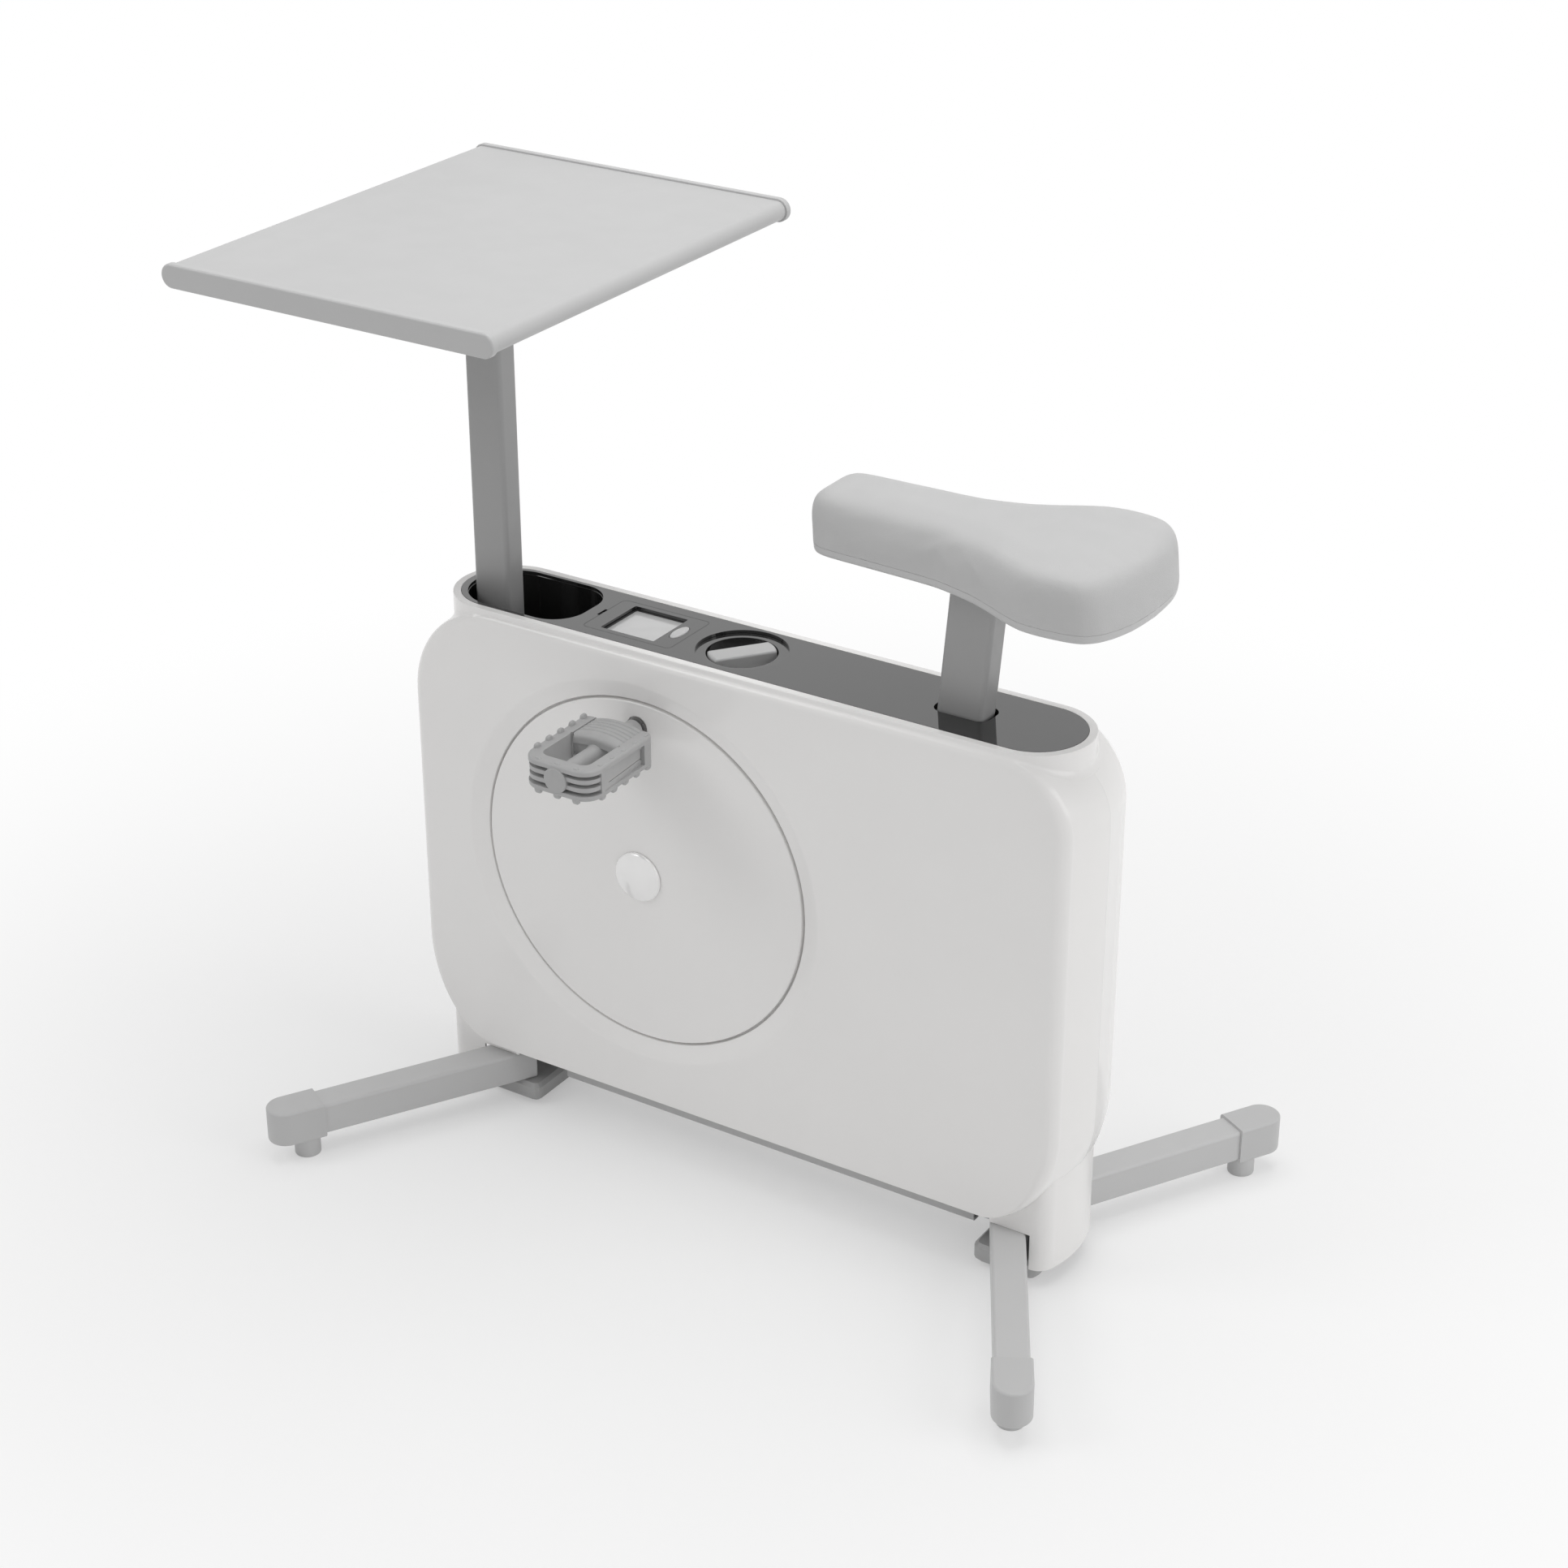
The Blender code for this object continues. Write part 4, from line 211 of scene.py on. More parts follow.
# The side covers: two moulded ABS shells that meet at the mid plane, with a soft shoulder under the collar,
# ends that bow a little, and a round dish for the crank plate. Gloss white, as it leaves a polished mould.

MIDDLE = 0.0351             # the body's own x = 0 in the frame
GAP = 0.0003                # between pieces that are fixed
RUN = 0.0004                # round pieces that slip in or turn
STEP = 0.00002              # the least step between loops in one plane, so that a bridge knows its way
BODY_HALF = 0.0636
COVER_FRONT, COVER_REAR = MIDDLE - 0.410, MIDDLE + 0.378
COVER_BOTTOM, COVER_TOP = 0.072, 0.583
COVER_WALL = 0.003
COVER_PLAN_RADIUS = 0.010   # of its upright edges
COVER_SHOULDER = 0.007
REAR_BOW, FRONT_BOW = 0.016, 0.009
LOWER_CORNER = (0.092, 0.1156)
COLLAR_RADIUS = 0.0595
COLLAR_FRONT, COLLAR_REAR = MIDDLE - 0.3775, MIDDLE + 0.3535
COLLAR_TOP, COLLAR_BOTTOM = 0.5891, 0.545
OVER_ALL = 0.6              # a level above the body, for cutters
CRANK = (MIDDLE - 0.1198, 0.3384)
DISH_RADIUS, DISH_DEPTH = 0.2150, 0.0066
PAN_RADIUS, PAN_FLOOR = 0.1953, 0.0504      # the flat pan in the dish, behind the crank plate
HUB_HOLE = 0.025
DESK_POST_X, SEAT_POST_X = MIDDLE - 0.3324, MIDDLE + 0.2201     # where the posts pass the deck
SEAT_SLEEVE_X, SLEEVE_HALF_Y = MIDDLE + 0.1750, 0.0194          # its hole in the covers' floor
SKIRT_INNER, SKIRT_BOW = 0.2925, 0.0042
SKIRT_CORNER, SKIRT_HALF = 0.0204, 0.0537
SKIRT_TIPS = {1: 0.3641, -1: 0.3926}    # how far the rear and the front one reach
SKIRT_HOLE = (0.02, 0.183)              # bottom and top of their cuts in the covers


def clamped(value, low=0.0, high=1.0):
    return min(max(value, low), high)


def arc(centre, radii, start, end, steps):
    """Points of an arc, elliptical where there are two radii. The angles are in degrees."""
    wide, high = radii if isinstance(radii, tuple) else (radii, radii)
    angles = [math.radians(start + (end - start) * step / steps) for step in range(steps + 1)]
    return [(centre[0] + wide * math.cos(angle), centre[1] + high * math.sin(angle)) for angle in angles]


def ring(centre, radii, steps):
    return arc(centre, radii, 0, 360 * (steps - 1) / steps, steps - 1)


def stadium(front, rear, radius, steps=32, middle=0.0):
    """A long outline with round ends."""
    ends = arc((rear - radius, middle), radius, -90, 90, steps)
    return ends + arc((front + radius, middle), radius, 90, 270, steps)


def raised(points, level):
    return [(x, y, level) for x, y in points]


def loop(bm, points):
    """A closed loop of edges through the points."""
    verts = [bm.verts.new(point) for point in points]
    return [bm.edges.new(pair) for pair in zip(verts, verts[1:] + verts[:1])]


def skin(bm, loops):
    """Bridges each loop to the next."""
    for first, second in zip(loops, loops[1:]):
        bmesh.ops.bridge_loops(bm, edges=first + second)


def lid(bm, *loops, whole=False):
    """Fills a flat outline, with holes where there are more loops, in triangles or in few large faces."""
    edges = [edge for each in loops for edge in each]
    bmesh.ops.triangle_fill(bm, use_beauty=True, use_dissolve=whole, edges=edges)


def solid(rows):
    """A closed form through rows of points."""
    bm = bmesh.new()
    loops = [loop(bm, points) for points in rows]
    skin(bm, loops)
    lid(bm, loops[0])
    lid(bm, loops[-1])
    return bm


def prism(points, low, high):
    return solid([raised(points, low), raised(points, high)])


def block(low, high):
    bm = bmesh.new()
    bmesh.ops.create_cube(bm, size=1.0)
    bmesh.ops.scale(bm, vec=[b - a for a, b in zip(low, high)], verts=bm.verts)
    bmesh.ops.translate(bm, vec=[(a + b) / 2 for a, b in zip(low, high)], verts=bm.verts)
    return bm


def turned(profile, centre, axis="z", steps=96, sign=1):
    """A body of revolution. The profile gives radius and height, and closes on itself or on the axis."""
    bm = bmesh.new()
    along, spot = {"z": ((0, 0, 1), (*centre, 0)), "y": ((0, 1, 0), (centre[0], 0, centre[-1]))}[axis]
    verts = [bm.verts.new(Vector(spot) + Vector((radius, 0, 0)) + Vector(along) * height * sign)
             for radius, height in profile]
    pairs = list(zip(verts, verts[1:]))
    if profile[0][0] > 1e-7:
        pairs.append((verts[-1], verts[0]))
    edges = [bm.edges.new(pair) for pair in pairs]
    bmesh.ops.spin(bm, geom=verts + edges, cent=spot, axis=along, angle=math.tau, steps=steps, use_merge=True)
    return bm


def peg(radius, low, high, centre, steps, side=1):
    """A plain cylinder that runs across the body."""
    return turned([(0, low), (radius, low), (radius, high), (0, high)], centre, "y", steps, side)


def soften(mesh, sharp):
    """Smooth shading. Edges past the angle, in degrees, stay crisp."""
    mesh.shade_smooth()
    mesh.set_sharp_from_angle(angle=math.radians(sharp))


def new_object(name, bm):
    bmesh.ops.remove_doubles(bm, verts=bm.verts, dist=1e-6)
    bmesh.ops.recalc_face_normals(bm, faces=bm.faces)
    mesh = bpy.data.meshes.new(name)
    bm.to_mesh(mesh)
    bm.free()
    soften(mesh, 35)
    made = bpy.data.objects.new(name, mesh)
    scene.collection.objects.link(made)
    return made


def settle(made, sharp=None):
    """Turns an object's live modifiers into its mesh."""
    bpy.context.view_layer.update()
    shape = made.evaluated_get(bpy.context.evaluated_depsgraph_get())
    mesh = bpy.data.meshes.new_from_object(shape)
    made.modifiers.clear()
    made.data = mesh
    if sharp:
        soften(mesh, sharp)


def carve(made, cutters, operation="DIFFERENCE"):
    """Cuts bmeshes out of an object, or joins them on, one after another."""
    for bm in cutters:
        tool = new_object("tool", bm)
        step = made.modifiers.new("carve", "BOOLEAN")
        step.operation = operation
        step.solver = "EXACT"
        step.object = tool
        settle(made, 35)
        bpy.data.objects.remove(tool)


def fit(made, body, slot, finish, *nodes):
    """Gives a finished piece its material, its body and the node that it stands for, and flat broad faces."""
    made.modifiers.new("flat_faces", "WEIGHTED_NORMAL").keep_sharp = True
    settle(made)
    made.data.materials.clear()
    made.data.materials.append(finish)
    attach(made, body)
    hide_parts(*nodes)


def drawn_in(depth, end):
    """How far the cover's end is drawn in at a distance from the mid plane. The rear end bows more."""
    bow = (REAR_BOW if end > 0 else FRONT_BOW) * (depth / BODY_HALF) ** 2
    into = max(0.0, depth - (BODY_HALF - COVER_PLAN_RADIUS))
    return bow + COVER_PLAN_RADIUS - math.sqrt(max(COVER_PLAN_RADIUS ** 2 - into ** 2, 0.0))


def shoulder_drop(depth):
    into = clamped((depth - COLLAR_RADIUS) / (BODY_HALF - COLLAR_RADIUS))
    return COVER_SHOULDER * (1 - math.sqrt(1 - into ** 2))


def corner_size(end):
    """Half axes of an upper corner: the front one is rounder."""
    return (0.080, 0.073) if end > 0 else (0.112, 0.106)


def cover_outline(depth, inset=0.0):
    """The cover's outline in x, z at a distance from the mid plane."""
    drop = shoulder_drop(depth)
    long, high = LOWER_CORNER[0] - inset, LOWER_CORNER[1] - inset
    points = []
    for end, edge, start, low_start in ((1, COVER_REAR - inset, 0, -90), (-1, COVER_FRONT + inset, 90, 180)):
        drawn = drawn_in(depth, end)
        wide, tall = (size - inset for size in corner_size(end))
        low_centre = (edge - end * long, COVER_BOTTOM + inset + high)
        high_centre = (edge - end * wide, COVER_TOP - inset - tall)
        lower = arc(low_centre, (long - drawn, high), low_start, low_start + 90, 18)
        upper = arc(high_centre, (wide - drawn, tall - drop), start, start + 90, 18)
        points += lower + upper if end > 0 else upper + lower
    return points


def skirt_plan(end, edge, spare=0.0):
    """Plan of a skirt, with an end that bows."""
    corner, half = SKIRT_CORNER + spare, SKIRT_HALF + spare
    flat = half - corner
    lean = math.atan(2 * SKIRT_BOW / flat)
    bulge = SKIRT_BOW * (1 + corner * math.sin(lean) / flat) ** 2
    tip = SKIRT_TIPS[end] + spare
    centre = tip - bulge - corner * math.cos(lean)
    turn = math.degrees(lean)
    points = [(edge, -half)] + arc((centre, -flat), corner, -90, -turn, 12)
    for share in (-0.75, -0.5, -0.25, 0.0, 0.25, 0.5, 0.75):
        points.append((tip - SKIRT_BOW * share ** 2, share * flat))
    points += arc((centre, flat), corner, turn, 90, 12) + [(edge, half)]
    return [(MIDDLE + end * x, y) for x, y in points]


def cover_block(wall=0.0):
    """The cover as a block with the dish and its pan pressed in; with a wall, the space inside it."""
    bm = bmesh.new()
    knee = BODY_HALF - COVER_PLAN_RADIUS
    depths = [0.00005, knee / 2, knee]
    depths += [knee + COVER_PLAN_RADIUS * math.sin(math.radians(90 * step / 16)) for step in range(1, 17)]
    depths.insert(-1, (COLLAR_RADIUS + depths[-1]) / 2)
    loops = []
    for depth in sorted(set(depths)):
        level = depth - wall * depth / BODY_HALF
        if wall and not loops:
            level = -wall
        loops.append(loop(bm, [(x, level, z) for x, z in cover_outline(depth, wall)]))
    lid(bm, loops[0])
    flat = BODY_HALF - wall - STEP
    loops.append(loop(bm, [(x, flat, z) for x, z in cover_outline(BODY_HALF, wall + 0.0015)]))
    skin(bm, loops)
    rim, low = PAN_RADIUS + 0.0012, BODY_HALF - DISH_DEPTH
    profile = [(DISH_RADIUS + 0.002, BODY_HALF - STEP)]
    for step in range(11):
        radius = DISH_RADIUS + (rim - DISH_RADIUS) * step / 10
        profile.append((radius, BODY_HALF - 2 * STEP - DISH_DEPTH * (step / 10) ** 1.06))
    profile += [(PAN_RADIUS + 0.0004, low - 0.0003), (PAN_RADIUS, low - 0.0011), (PAN_RADIUS, PAN_FLOOR)]
    rings = [loop(bm, [(x, level - wall, z) for x, z in ring(CRANK, radius + wall, 144)])
             for radius, level in profile]
    lid(bm, loops[-1], rings[0])
    skin(bm, rings)
    lid(bm, rings[-1])
    return bm


def sleeve_hole(centre, half_x):
    low = (centre - half_x, -SLEEVE_HALF_Y, COVER_BOTTOM - 0.01)
    return block(low, (centre + half_x, SLEEVE_HALF_Y, COVER_BOTTOM + 0.02))


def moulded(name, colour, gloss, peel=0.00002, warmth=0.0):
    """Moulded plastic: a trace of mottle, gloss that wanders, and the mould's fine skin."""
    finish = Finish(name)
    tone = finish.clouds(0.08, colour - 1.5, colour + 1.5, warmth=warmth)
    rough = finish.wander(0.03, gloss * 0.9, gloss * 1.12, 2.0)
    peel_bump = finish.bump(finish.noise(0.0016, 2.0), peel)
    return finish.surface(base_color=tone, roughness=rough, normal=peel_bump)


shell_white = moulded("gloss_white_abs", 244, 0.16, 0.000015, 1.2)
for name, side in (("near_cover", -1), ("far_cover", 1)):
    cover = new_object(name + "_shell", cover_block())
    collar_hole = stadium(COLLAR_FRONT + 0.001, COLLAR_REAR - 0.001, COLLAR_RADIUS - 0.001)
    cutters = [cover_block(COVER_WALL), prism(collar_hole, COLLAR_BOTTOM - COVER_WALL, OVER_ALL),
               peg(HUB_HOLE, 0.03, 0.06, CRANK, 48)]
    cutters += [prism(skirt_plan(end, SKIRT_INNER, RUN), *SKIRT_HOLE) for end in (-1, 1)]
    cutters += [sleeve_hole(DESK_POST_X, 0.0274), sleeve_hole(SEAT_SLEEVE_X, 0.0300)]
    carve(cover, cutters)
    if side < 0:            # the near cover is the far one, mirrored in the mid plane
        cover.data.transform(Matrix.Scale(-1, 4, (0, 1, 0)))
        cover.data.flip_normals()
    fit(cover, "frame", "white_shell", shell_white, name)


# The skirts under the body's ends: short moulded shells that cover the clamp plates and the leg roots, and
# are notched over the legs. The same white ABS as the covers, with a soft lower edge.

SKIRT_FOOT, SKIRT_TOP = 0.0204, 0.180
SKIRT_WALL = 0.0025
SKIRT_HOLLOW = 0.2825                   # where the inner hollow starts
WEB_BOTTOM, WEB_TOP = 0.0701, 0.0731    # the web that closes the hollow
NOTCH_OUTER, NOTCH_TOP = 0.3385, 0.0618


def eased(size, angles=(90, 60, 30, 0)):
    """The steps round a soft edge: how far each lies in from the side, and how far off the face."""
    swings = [math.radians(angle) for angle in angles]
    return [(size * (1 - math.cos(swing)), size * (1 - math.sin(swing))) for swing in swings]


for name, end in (("front_skirt", -1), ("rear_skirt", 1)):
    rows = [raised(skirt_plan(end, SKIRT_INNER, -inset), SKIRT_FOOT + lift) for inset, lift in eased(0.0016)]
    rows.append(raised(skirt_plan(end, SKIRT_INNER), SKIRT_TOP))
    skirt = new_object(name + "_shell", solid(rows))
    hollow = skirt_plan(end, SKIRT_HOLLOW, -SKIRT_WALL)
    near, far = sorted((MIDDLE + end * SKIRT_HOLLOW, MIDDLE + end * NOTCH_OUTER))
    notch = block((near, -0.07, 0.0), (far, 0.07, NOTCH_TOP))
    carve(skirt, [prism(hollow, 0.0, WEB_BOTTOM), prism(hollow, WEB_TOP, 0.2), notch])
    fit(skirt, "frame", "white_shell", shell_white, name)


# The collar: a white moulded ring that closes the top of the body and carries the deck on its inner ledge.
# Its foot flares softly into the covers' shoulder, so that the body reads as one form.

COLLAR_EDGE = 0.0009
SHELF, SHELF_THICK = COLLAR_TOP - 0.0033, 0.003
WALL_INSET, LIP_INSET, SHELF_INSET = 0.0025, 0.0082, 0.0097     # of its inner faces from the outer wall
FLARE, END_FLARE = 0.0030, 0.0015       # reach of the foot, and what round ends add to it
SKIRTED, SIDE_FOOT = 0.085, 0.5605      # length of the deeper ends of its foot, and the level between them


def cover_height(x, y):
    """Height of the covers' top over a point of the plan."""
    depth = min(abs(y), BODY_HALF)
    end, reach = (1, COVER_REAR - x) if x > MIDDLE else (-1, x - COVER_FRONT)
    wide, tall = corner_size(end)
    past = max(wide - reach, 0.0) / (wide - drawn_in(depth, end))
    return COVER_TOP - tall + (tall - shoulder_drop(depth)) * math.sqrt(max(1 - past ** 2, 0.0))


def collar_row(inset, height):
    """One loop of the collar: its inset from the outer wall, and its height, which may follow x."""
    outline = stadium(COLLAR_FRONT + inset, COLLAR_REAR - inset, COLLAR_RADIUS - inset)
    return [(x, y, height(x) if callable(height) else height) for x, y in outline]


def flare_row(share):
    """A loop of the flare, from 0 on the wall to 1 on the cover. It is widest round the ends."""
    row = []
    swing = math.radians(90 * share)
    for x, y in stadium(COLLAR_FRONT, COLLAR_REAR, COLLAR_RADIUS):
        middle = clamped(x, COLLAR_FRONT + COLLAR_RADIUS, COLLAR_REAR - COLLAR_RADIUS)
        past = max(COLLAR_FRONT + COLLAR_RADIUS - x, x - COLLAR_REAR + COLLAR_RADIUS, 0.0)
        reach = FLARE + END_FLARE * min(past / COLLAR_RADIUS, 1.0) ** 0.8
        outward = Vector((x - middle, y)).normalized()
        place = Vector((x, y)) + outward * (reach * (1 - math.cos(swing)))
        place.y = clamped(place.y, 0.0001 - BODY_HALF, BODY_HALF - 0.0001)
        lift = reach * (1 - math.sin(swing))
        row.append((*place, min(cover_height(*place) + lift, COLLAR_TOP - 0.002)))
    return row


def collar_foot(x):
    ends = max(COLLAR_FRONT + SKIRTED - x, x - COLLAR_REAR + SKIRTED)
    return COLLAR_BOTTOM if ends > 0 else SIDE_FOOT


rows = [[(x, y, z + STEP) for x, y, z in collar_row(WALL_INSET, collar_foot)],
        collar_row(WALL_INSET, SHELF - SHELF_THICK - STEP), collar_row(SHELF_INSET, SHELF - SHELF_THICK),
        collar_row(SHELF_INSET, SHELF - STEP), collar_row(LIP_INSET, SHELF),
        collar_row(LIP_INSET, COLLAR_TOP - 0.0003), collar_row(LIP_INSET - 0.0003, COLLAR_TOP - STEP)]
rows += [collar_row(inset, COLLAR_TOP - drop) for inset, drop in eased(COLLAR_EDGE)]
rows += [flare_row(step / 8) for step in range(9)] + [collar_row(0.0004, collar_foot)]
bm = bmesh.new()
loops = [loop(bm, row) for row in rows]
skin(bm, loops + loops[:1])
fit(new_object("collar_ring", bm), "frame", "white_shell", shell_white, "top_collar")


# The deck: a dark tinted acrylic plate let into the collar, cut out for the pocket, the display, the knob and
# the seat post. Its gloss mirrors the post and the white room.

DECK_FRONT, DECK_REAR = MIDDLE - 0.369, MIDDLE + 0.345
DECK_BOTTOM = COLLAR_TOP - 0.003
DECK_RADIUS, DECK_EDGE = 0.051, 0.00015
KNOB, KNOB_HOLE = (MIDDLE - 0.034, 0.0), 0.0469
SLOT_HALF, SLOT_CORNER = (0.0306, 0.0177), 0.0125
NOTCH_FRONT = MIDDLE - 0.2045


def rounded(low, high, radii, steps=10, spare=0.0):
    """A rectangle's outline with its own radius at each corner, grown on all sides."""
    if not isinstance(radii, tuple):
        radii = (radii,) * 4
    low, high = [each - spare for each in low], [each + spare for each in high]
    corners = ((low[0], low[1], 1, 1), (high[0], low[1], -1, 1),
               (high[0], high[1], -1, -1), (low[0], high[1], 1, -1))
    points = []
    for index, ((x, y, way_x, way_y), radius) in enumerate(zip(corners, radii)):
        radius += spare
        centre = (x + way_x * radius, y + way_y * radius)
        points += arc(centre, radius, 180 + 90 * index, 270 + 90 * index, steps)
    return points


def plate(outlines, low, high, edge):
    """A flat plate from an outline and its holes, with its top edges eased."""
    bm = bmesh.new()
    lid(bm, *[loop(bm, raised(points, low)) for points in outlines], whole=True)
    grown = bmesh.ops.extrude_face_region(bm, geom=list(bm.faces))["geom"]
    verts = [each for each in grown if isinstance(each, bmesh.types.BMVert)]
    bmesh.ops.translate(bm, vec=(0, 0, high - low), verts=verts)
    bmesh.ops.recalc_face_normals(bm, faces=bm.faces)
    rim = [each for each in bm.edges if each.calc_face_angle(0.0) > 1.0
           and all(vert.co.z > high - 1e-6 for vert in each.verts)]
    bmesh.ops.bevel(bm, geom=rim, offset=edge, segments=3, profile=0.5, affect="EDGES", material=-1,
                    clamp_overlap=True)
    return bm


def pocket_plan(spare=0.0):
    front, rear = 0.0466, 0.036         # its corners
    low, high = (MIDDLE - 0.3614, -0.0469), (MIDDLE - 0.2176, 0.0469)
    return rounded(low, high, (front, rear, rear, front), 20, spare)


def hole_plan(centre, half, corner, steps=10):
    """Plan of a hole that a post runs through."""
    return rounded((centre - half[0], -half[1]), (centre + half[0], half[1]), corner, steps)


def display_plan(spare=0.0):
    return rounded((MIDDLE - 0.2013, -0.0374), (MIDDLE - 0.0959, 0.0374), 0.0057, 8, spare)


deck_finish = Finish("smoked_acrylic")
dust = deck_finish.grade(deck_finish.noise(0.05, 4.0), 0.35, 0.75, 0.05, 0.085)
smoked = deck_finish.surface(base_color=deck_finish.clouds(0.12, 34, 40, 2.0), roughness=dust, ior=1.36,
                             coat_weight=0.8, coat_roughness=0.02)
post_slot = hole_plan(SEAT_POST_X, SLOT_HALF, SLOT_CORNER)
holes = [pocket_plan(), display_plan(GAP), ring(KNOB, KNOB_HOLE, 96), post_slot]
deck_outline = stadium(DECK_FRONT, DECK_REAR, DECK_RADIUS, 48)
deck_bm = plate([deck_outline] + holes, DECK_BOTTOM, COLLAR_TOP, DECK_EDGE)
deck = new_object("deck_plate", deck_bm)
notch_plan = rounded((NOTCH_FRONT, -0.0076), (NOTCH_FRONT + 0.0029, 0.0076), 0.0006, 3)
carve(deck, [prism(notch_plan, COLLAR_TOP - 0.002, OVER_ALL)])
fit(deck, "frame", "dark_deck", smoked, "deck_panel")


# The pocket behind the desk post: a deep moulded cup in black gloss ABS, held under the deck, with a hole in
# its floor for the post.

POCKET_FLOOR = COLLAR_TOP - 0.085
POCKET_WALL = 0.0016
DECK_UNDER = DECK_BOTTOM - GAP
cup_black = moulded("gloss_black_abs", 34, 0.12, 0.00001)
post_hole = hole_plan(DESK_POST_X, (0.0228, 0.0148), 0.005, 6)
rows = [(POCKET_WALL, POCKET_FLOOR - POCKET_WALL), (POCKET_WALL, DECK_UNDER), (0.0004, DECK_UNDER - STEP),
        (-0.0003, DECK_UNDER - 0.0007)]
rows += [(-GAP - inset, POCKET_FLOOR + lift) for inset, lift in eased(0.004, (0, 30, 60, 90))]
bm = bmesh.new()
walls = [loop(bm, raised(pocket_plan(spare), level)) for spare, level in rows]
skin(bm, walls)
hole_rims = [loop(bm, raised(post_hole, level)) for level in (POCKET_FLOOR, POCKET_FLOOR - POCKET_WALL)]
skin(bm, hole_rims)
lid(bm, walls[-1], hole_rims[0])
lid(bm, walls[0], hole_rims[1])
fit(new_object("pocket_liner", bm), "frame", "black_plastic", cup_black, "pocket_cup")


# The display: a bezel of the deck's own acrylic in a fine outline, a sunk window over the grey liquid
# crystal, and a sprung oval button of pale plastic.

WINDOW = ((MIDDLE - 0.1832, -0.0308), (MIDDLE - 0.1190, 0.0308))
BUTTON = (MIDDLE - 0.1085, 0.0)
BUTTON_RISE = 0.0020


def button_oval(spare, share=1.0):
    return ring(BUTTON, ((0.0064 + spare) * share, (0.0153 + spare) * share), 64)


bezel_bm = plate([display_plan(), rounded(*WINDOW, 0.0015, 5), button_oval(GAP)], DECK_BOTTOM, COLLAR_TOP,
                 DECK_EDGE)
fit(new_object("display_frame", bezel_bm), "frame", "dark_deck", smoked, "display_bezel")

crystal = Finish("liquid_crystal")
crystal_tone = crystal.blend(crystal.wander(0.03, detail=1.0), grey(205), grey(212))
glass_face = crystal.surface(base_color=crystal_tone, roughness=0.18, coat_weight=0.6, coat_roughness=0.05)
pane_bm = plate([rounded(*WINDOW, 0.0016, 4, -GAP)], COLLAR_TOP - 0.0075, COLLAR_TOP - 0.0050, 0.0003)
fit(new_object("display_glass_pane", pane_bm), "frame", "display_glass", glass_face, "display_window")

rows = [(1.0, COLLAR_TOP - 0.012), (1.0, COLLAR_TOP - 0.0003)]
for angle in (12, 26, 42, 60, 78):
    swing = math.radians(angle)
    rows.append((0.35 + 0.65 * math.cos(swing), COLLAR_TOP + BUTTON_RISE * math.sin(swing)))
rows.append((0.3, COLLAR_TOP + BUTTON_RISE))
button_bm = solid([raised(button_oval(-GAP, share), level) for share, level in rows])
button_finish = moulded("button_plastic", 205, 0.35, 0.00001)
fit(new_object("mode_key", button_bm), "button", "pale_plastic", button_finish, "mode_button")


# The resistance knob: a grey moulded bar on a low drum that turns in a round black cup. A ring in the deck's
# finish steps down to the cup.

KNOB_RADIUS = 0.0345
KNOB_TURN = math.radians(52.5)
WELL_RADIUS = 0.036
CUP_FLOOR = COLLAR_TOP - 0.024

well_profile = [(0.0044, CUP_FLOOR - 0.002), (0.038, CUP_FLOOR - 0.002), (0.038, DECK_UNDER - 0.002),
                (0.0484, DECK_UNDER - 0.002), (0.0484, DECK_UNDER), (0.0368, DECK_UNDER),
                (0.0362, DECK_UNDER - 0.0002), (WELL_RADIUS, DECK_UNDER - 0.0008), (WELL_RADIUS, CUP_FLOOR),
                (0.0044, CUP_FLOOR)]
well = new_object("knob_well", turned(well_profile, KNOB))
fit(well, "frame", "dark_deck", smoked, "knob_bezel")
well.data.materials.append(cup_black)
for face in well.data.polygons:
    reach = (face.center.xy - Vector(KNOB)).length
    face.material_index = 1 if reach < WELL_RADIUS + 0.0001 or face.center.z < DECK_UNDER - 0.001 else 0


def placed(bm, matrix):
    bmesh.ops.transform(bm, matrix=matrix, verts=bm.verts)
    return bm


def knob_bar(half, edge, top, foot):
    """The grip bar: its ends follow the drum, and its top edges are rounded."""
    reach = math.sqrt(KNOB_RADIUS ** 2 - half ** 2)
    corner = math.degrees(math.atan2(half, reach))
    plan = arc((0, 0), KNOB_RADIUS, -corner, corner, 12)
    plan += arc((0, 0), KNOB_RADIUS, 180 - corner, 180 + corner, 12)
    rows = [raised(plan, foot)]
    for inset, drop in eased(edge, range(0, 91, 15)):
        scale = (1 - inset / KNOB_RADIUS, 1 - inset / half)
        rows.append([(x * scale[0], y * scale[1], top - drop) for x, y in plan])
    return placed(solid(rows), Matrix.Translation((*KNOB, 0)) @ Matrix.Rotation(KNOB_TURN, 4, "Z"))


stem_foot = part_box("resistance_knob")[0].z
drum_foot = CUP_FLOOR + RUN
drum = [(0, stem_foot), (0.014, stem_foot), (0.014, stem_foot + 0.006), (0.004, stem_foot + 0.006),
        (0.004, drum_foot), (KNOB_RADIUS, drum_foot), (KNOB_RADIUS, drum_foot + 0.0034),
        (KNOB_RADIUS - 0.0006, drum_foot + 0.004), (0, drum_foot + 0.004)]
knob = new_object("knob_grip", turned(drum, KNOB))
carve(knob, [knob_bar(0.012, 0.0032, COLLAR_TOP - 0.0008, drum_foot + 0.002)], "UNION")
fit(knob, "knob", "pale_plastic", moulded("knob_plastic", 188, 0.32), "resistance_knob")


# The crank: on each side a round white moulded plate on the crank axle, let into the cover's dish, with a
# domed cap over the axle's screw. The pedal's spindle stands in a round socket near the rim.

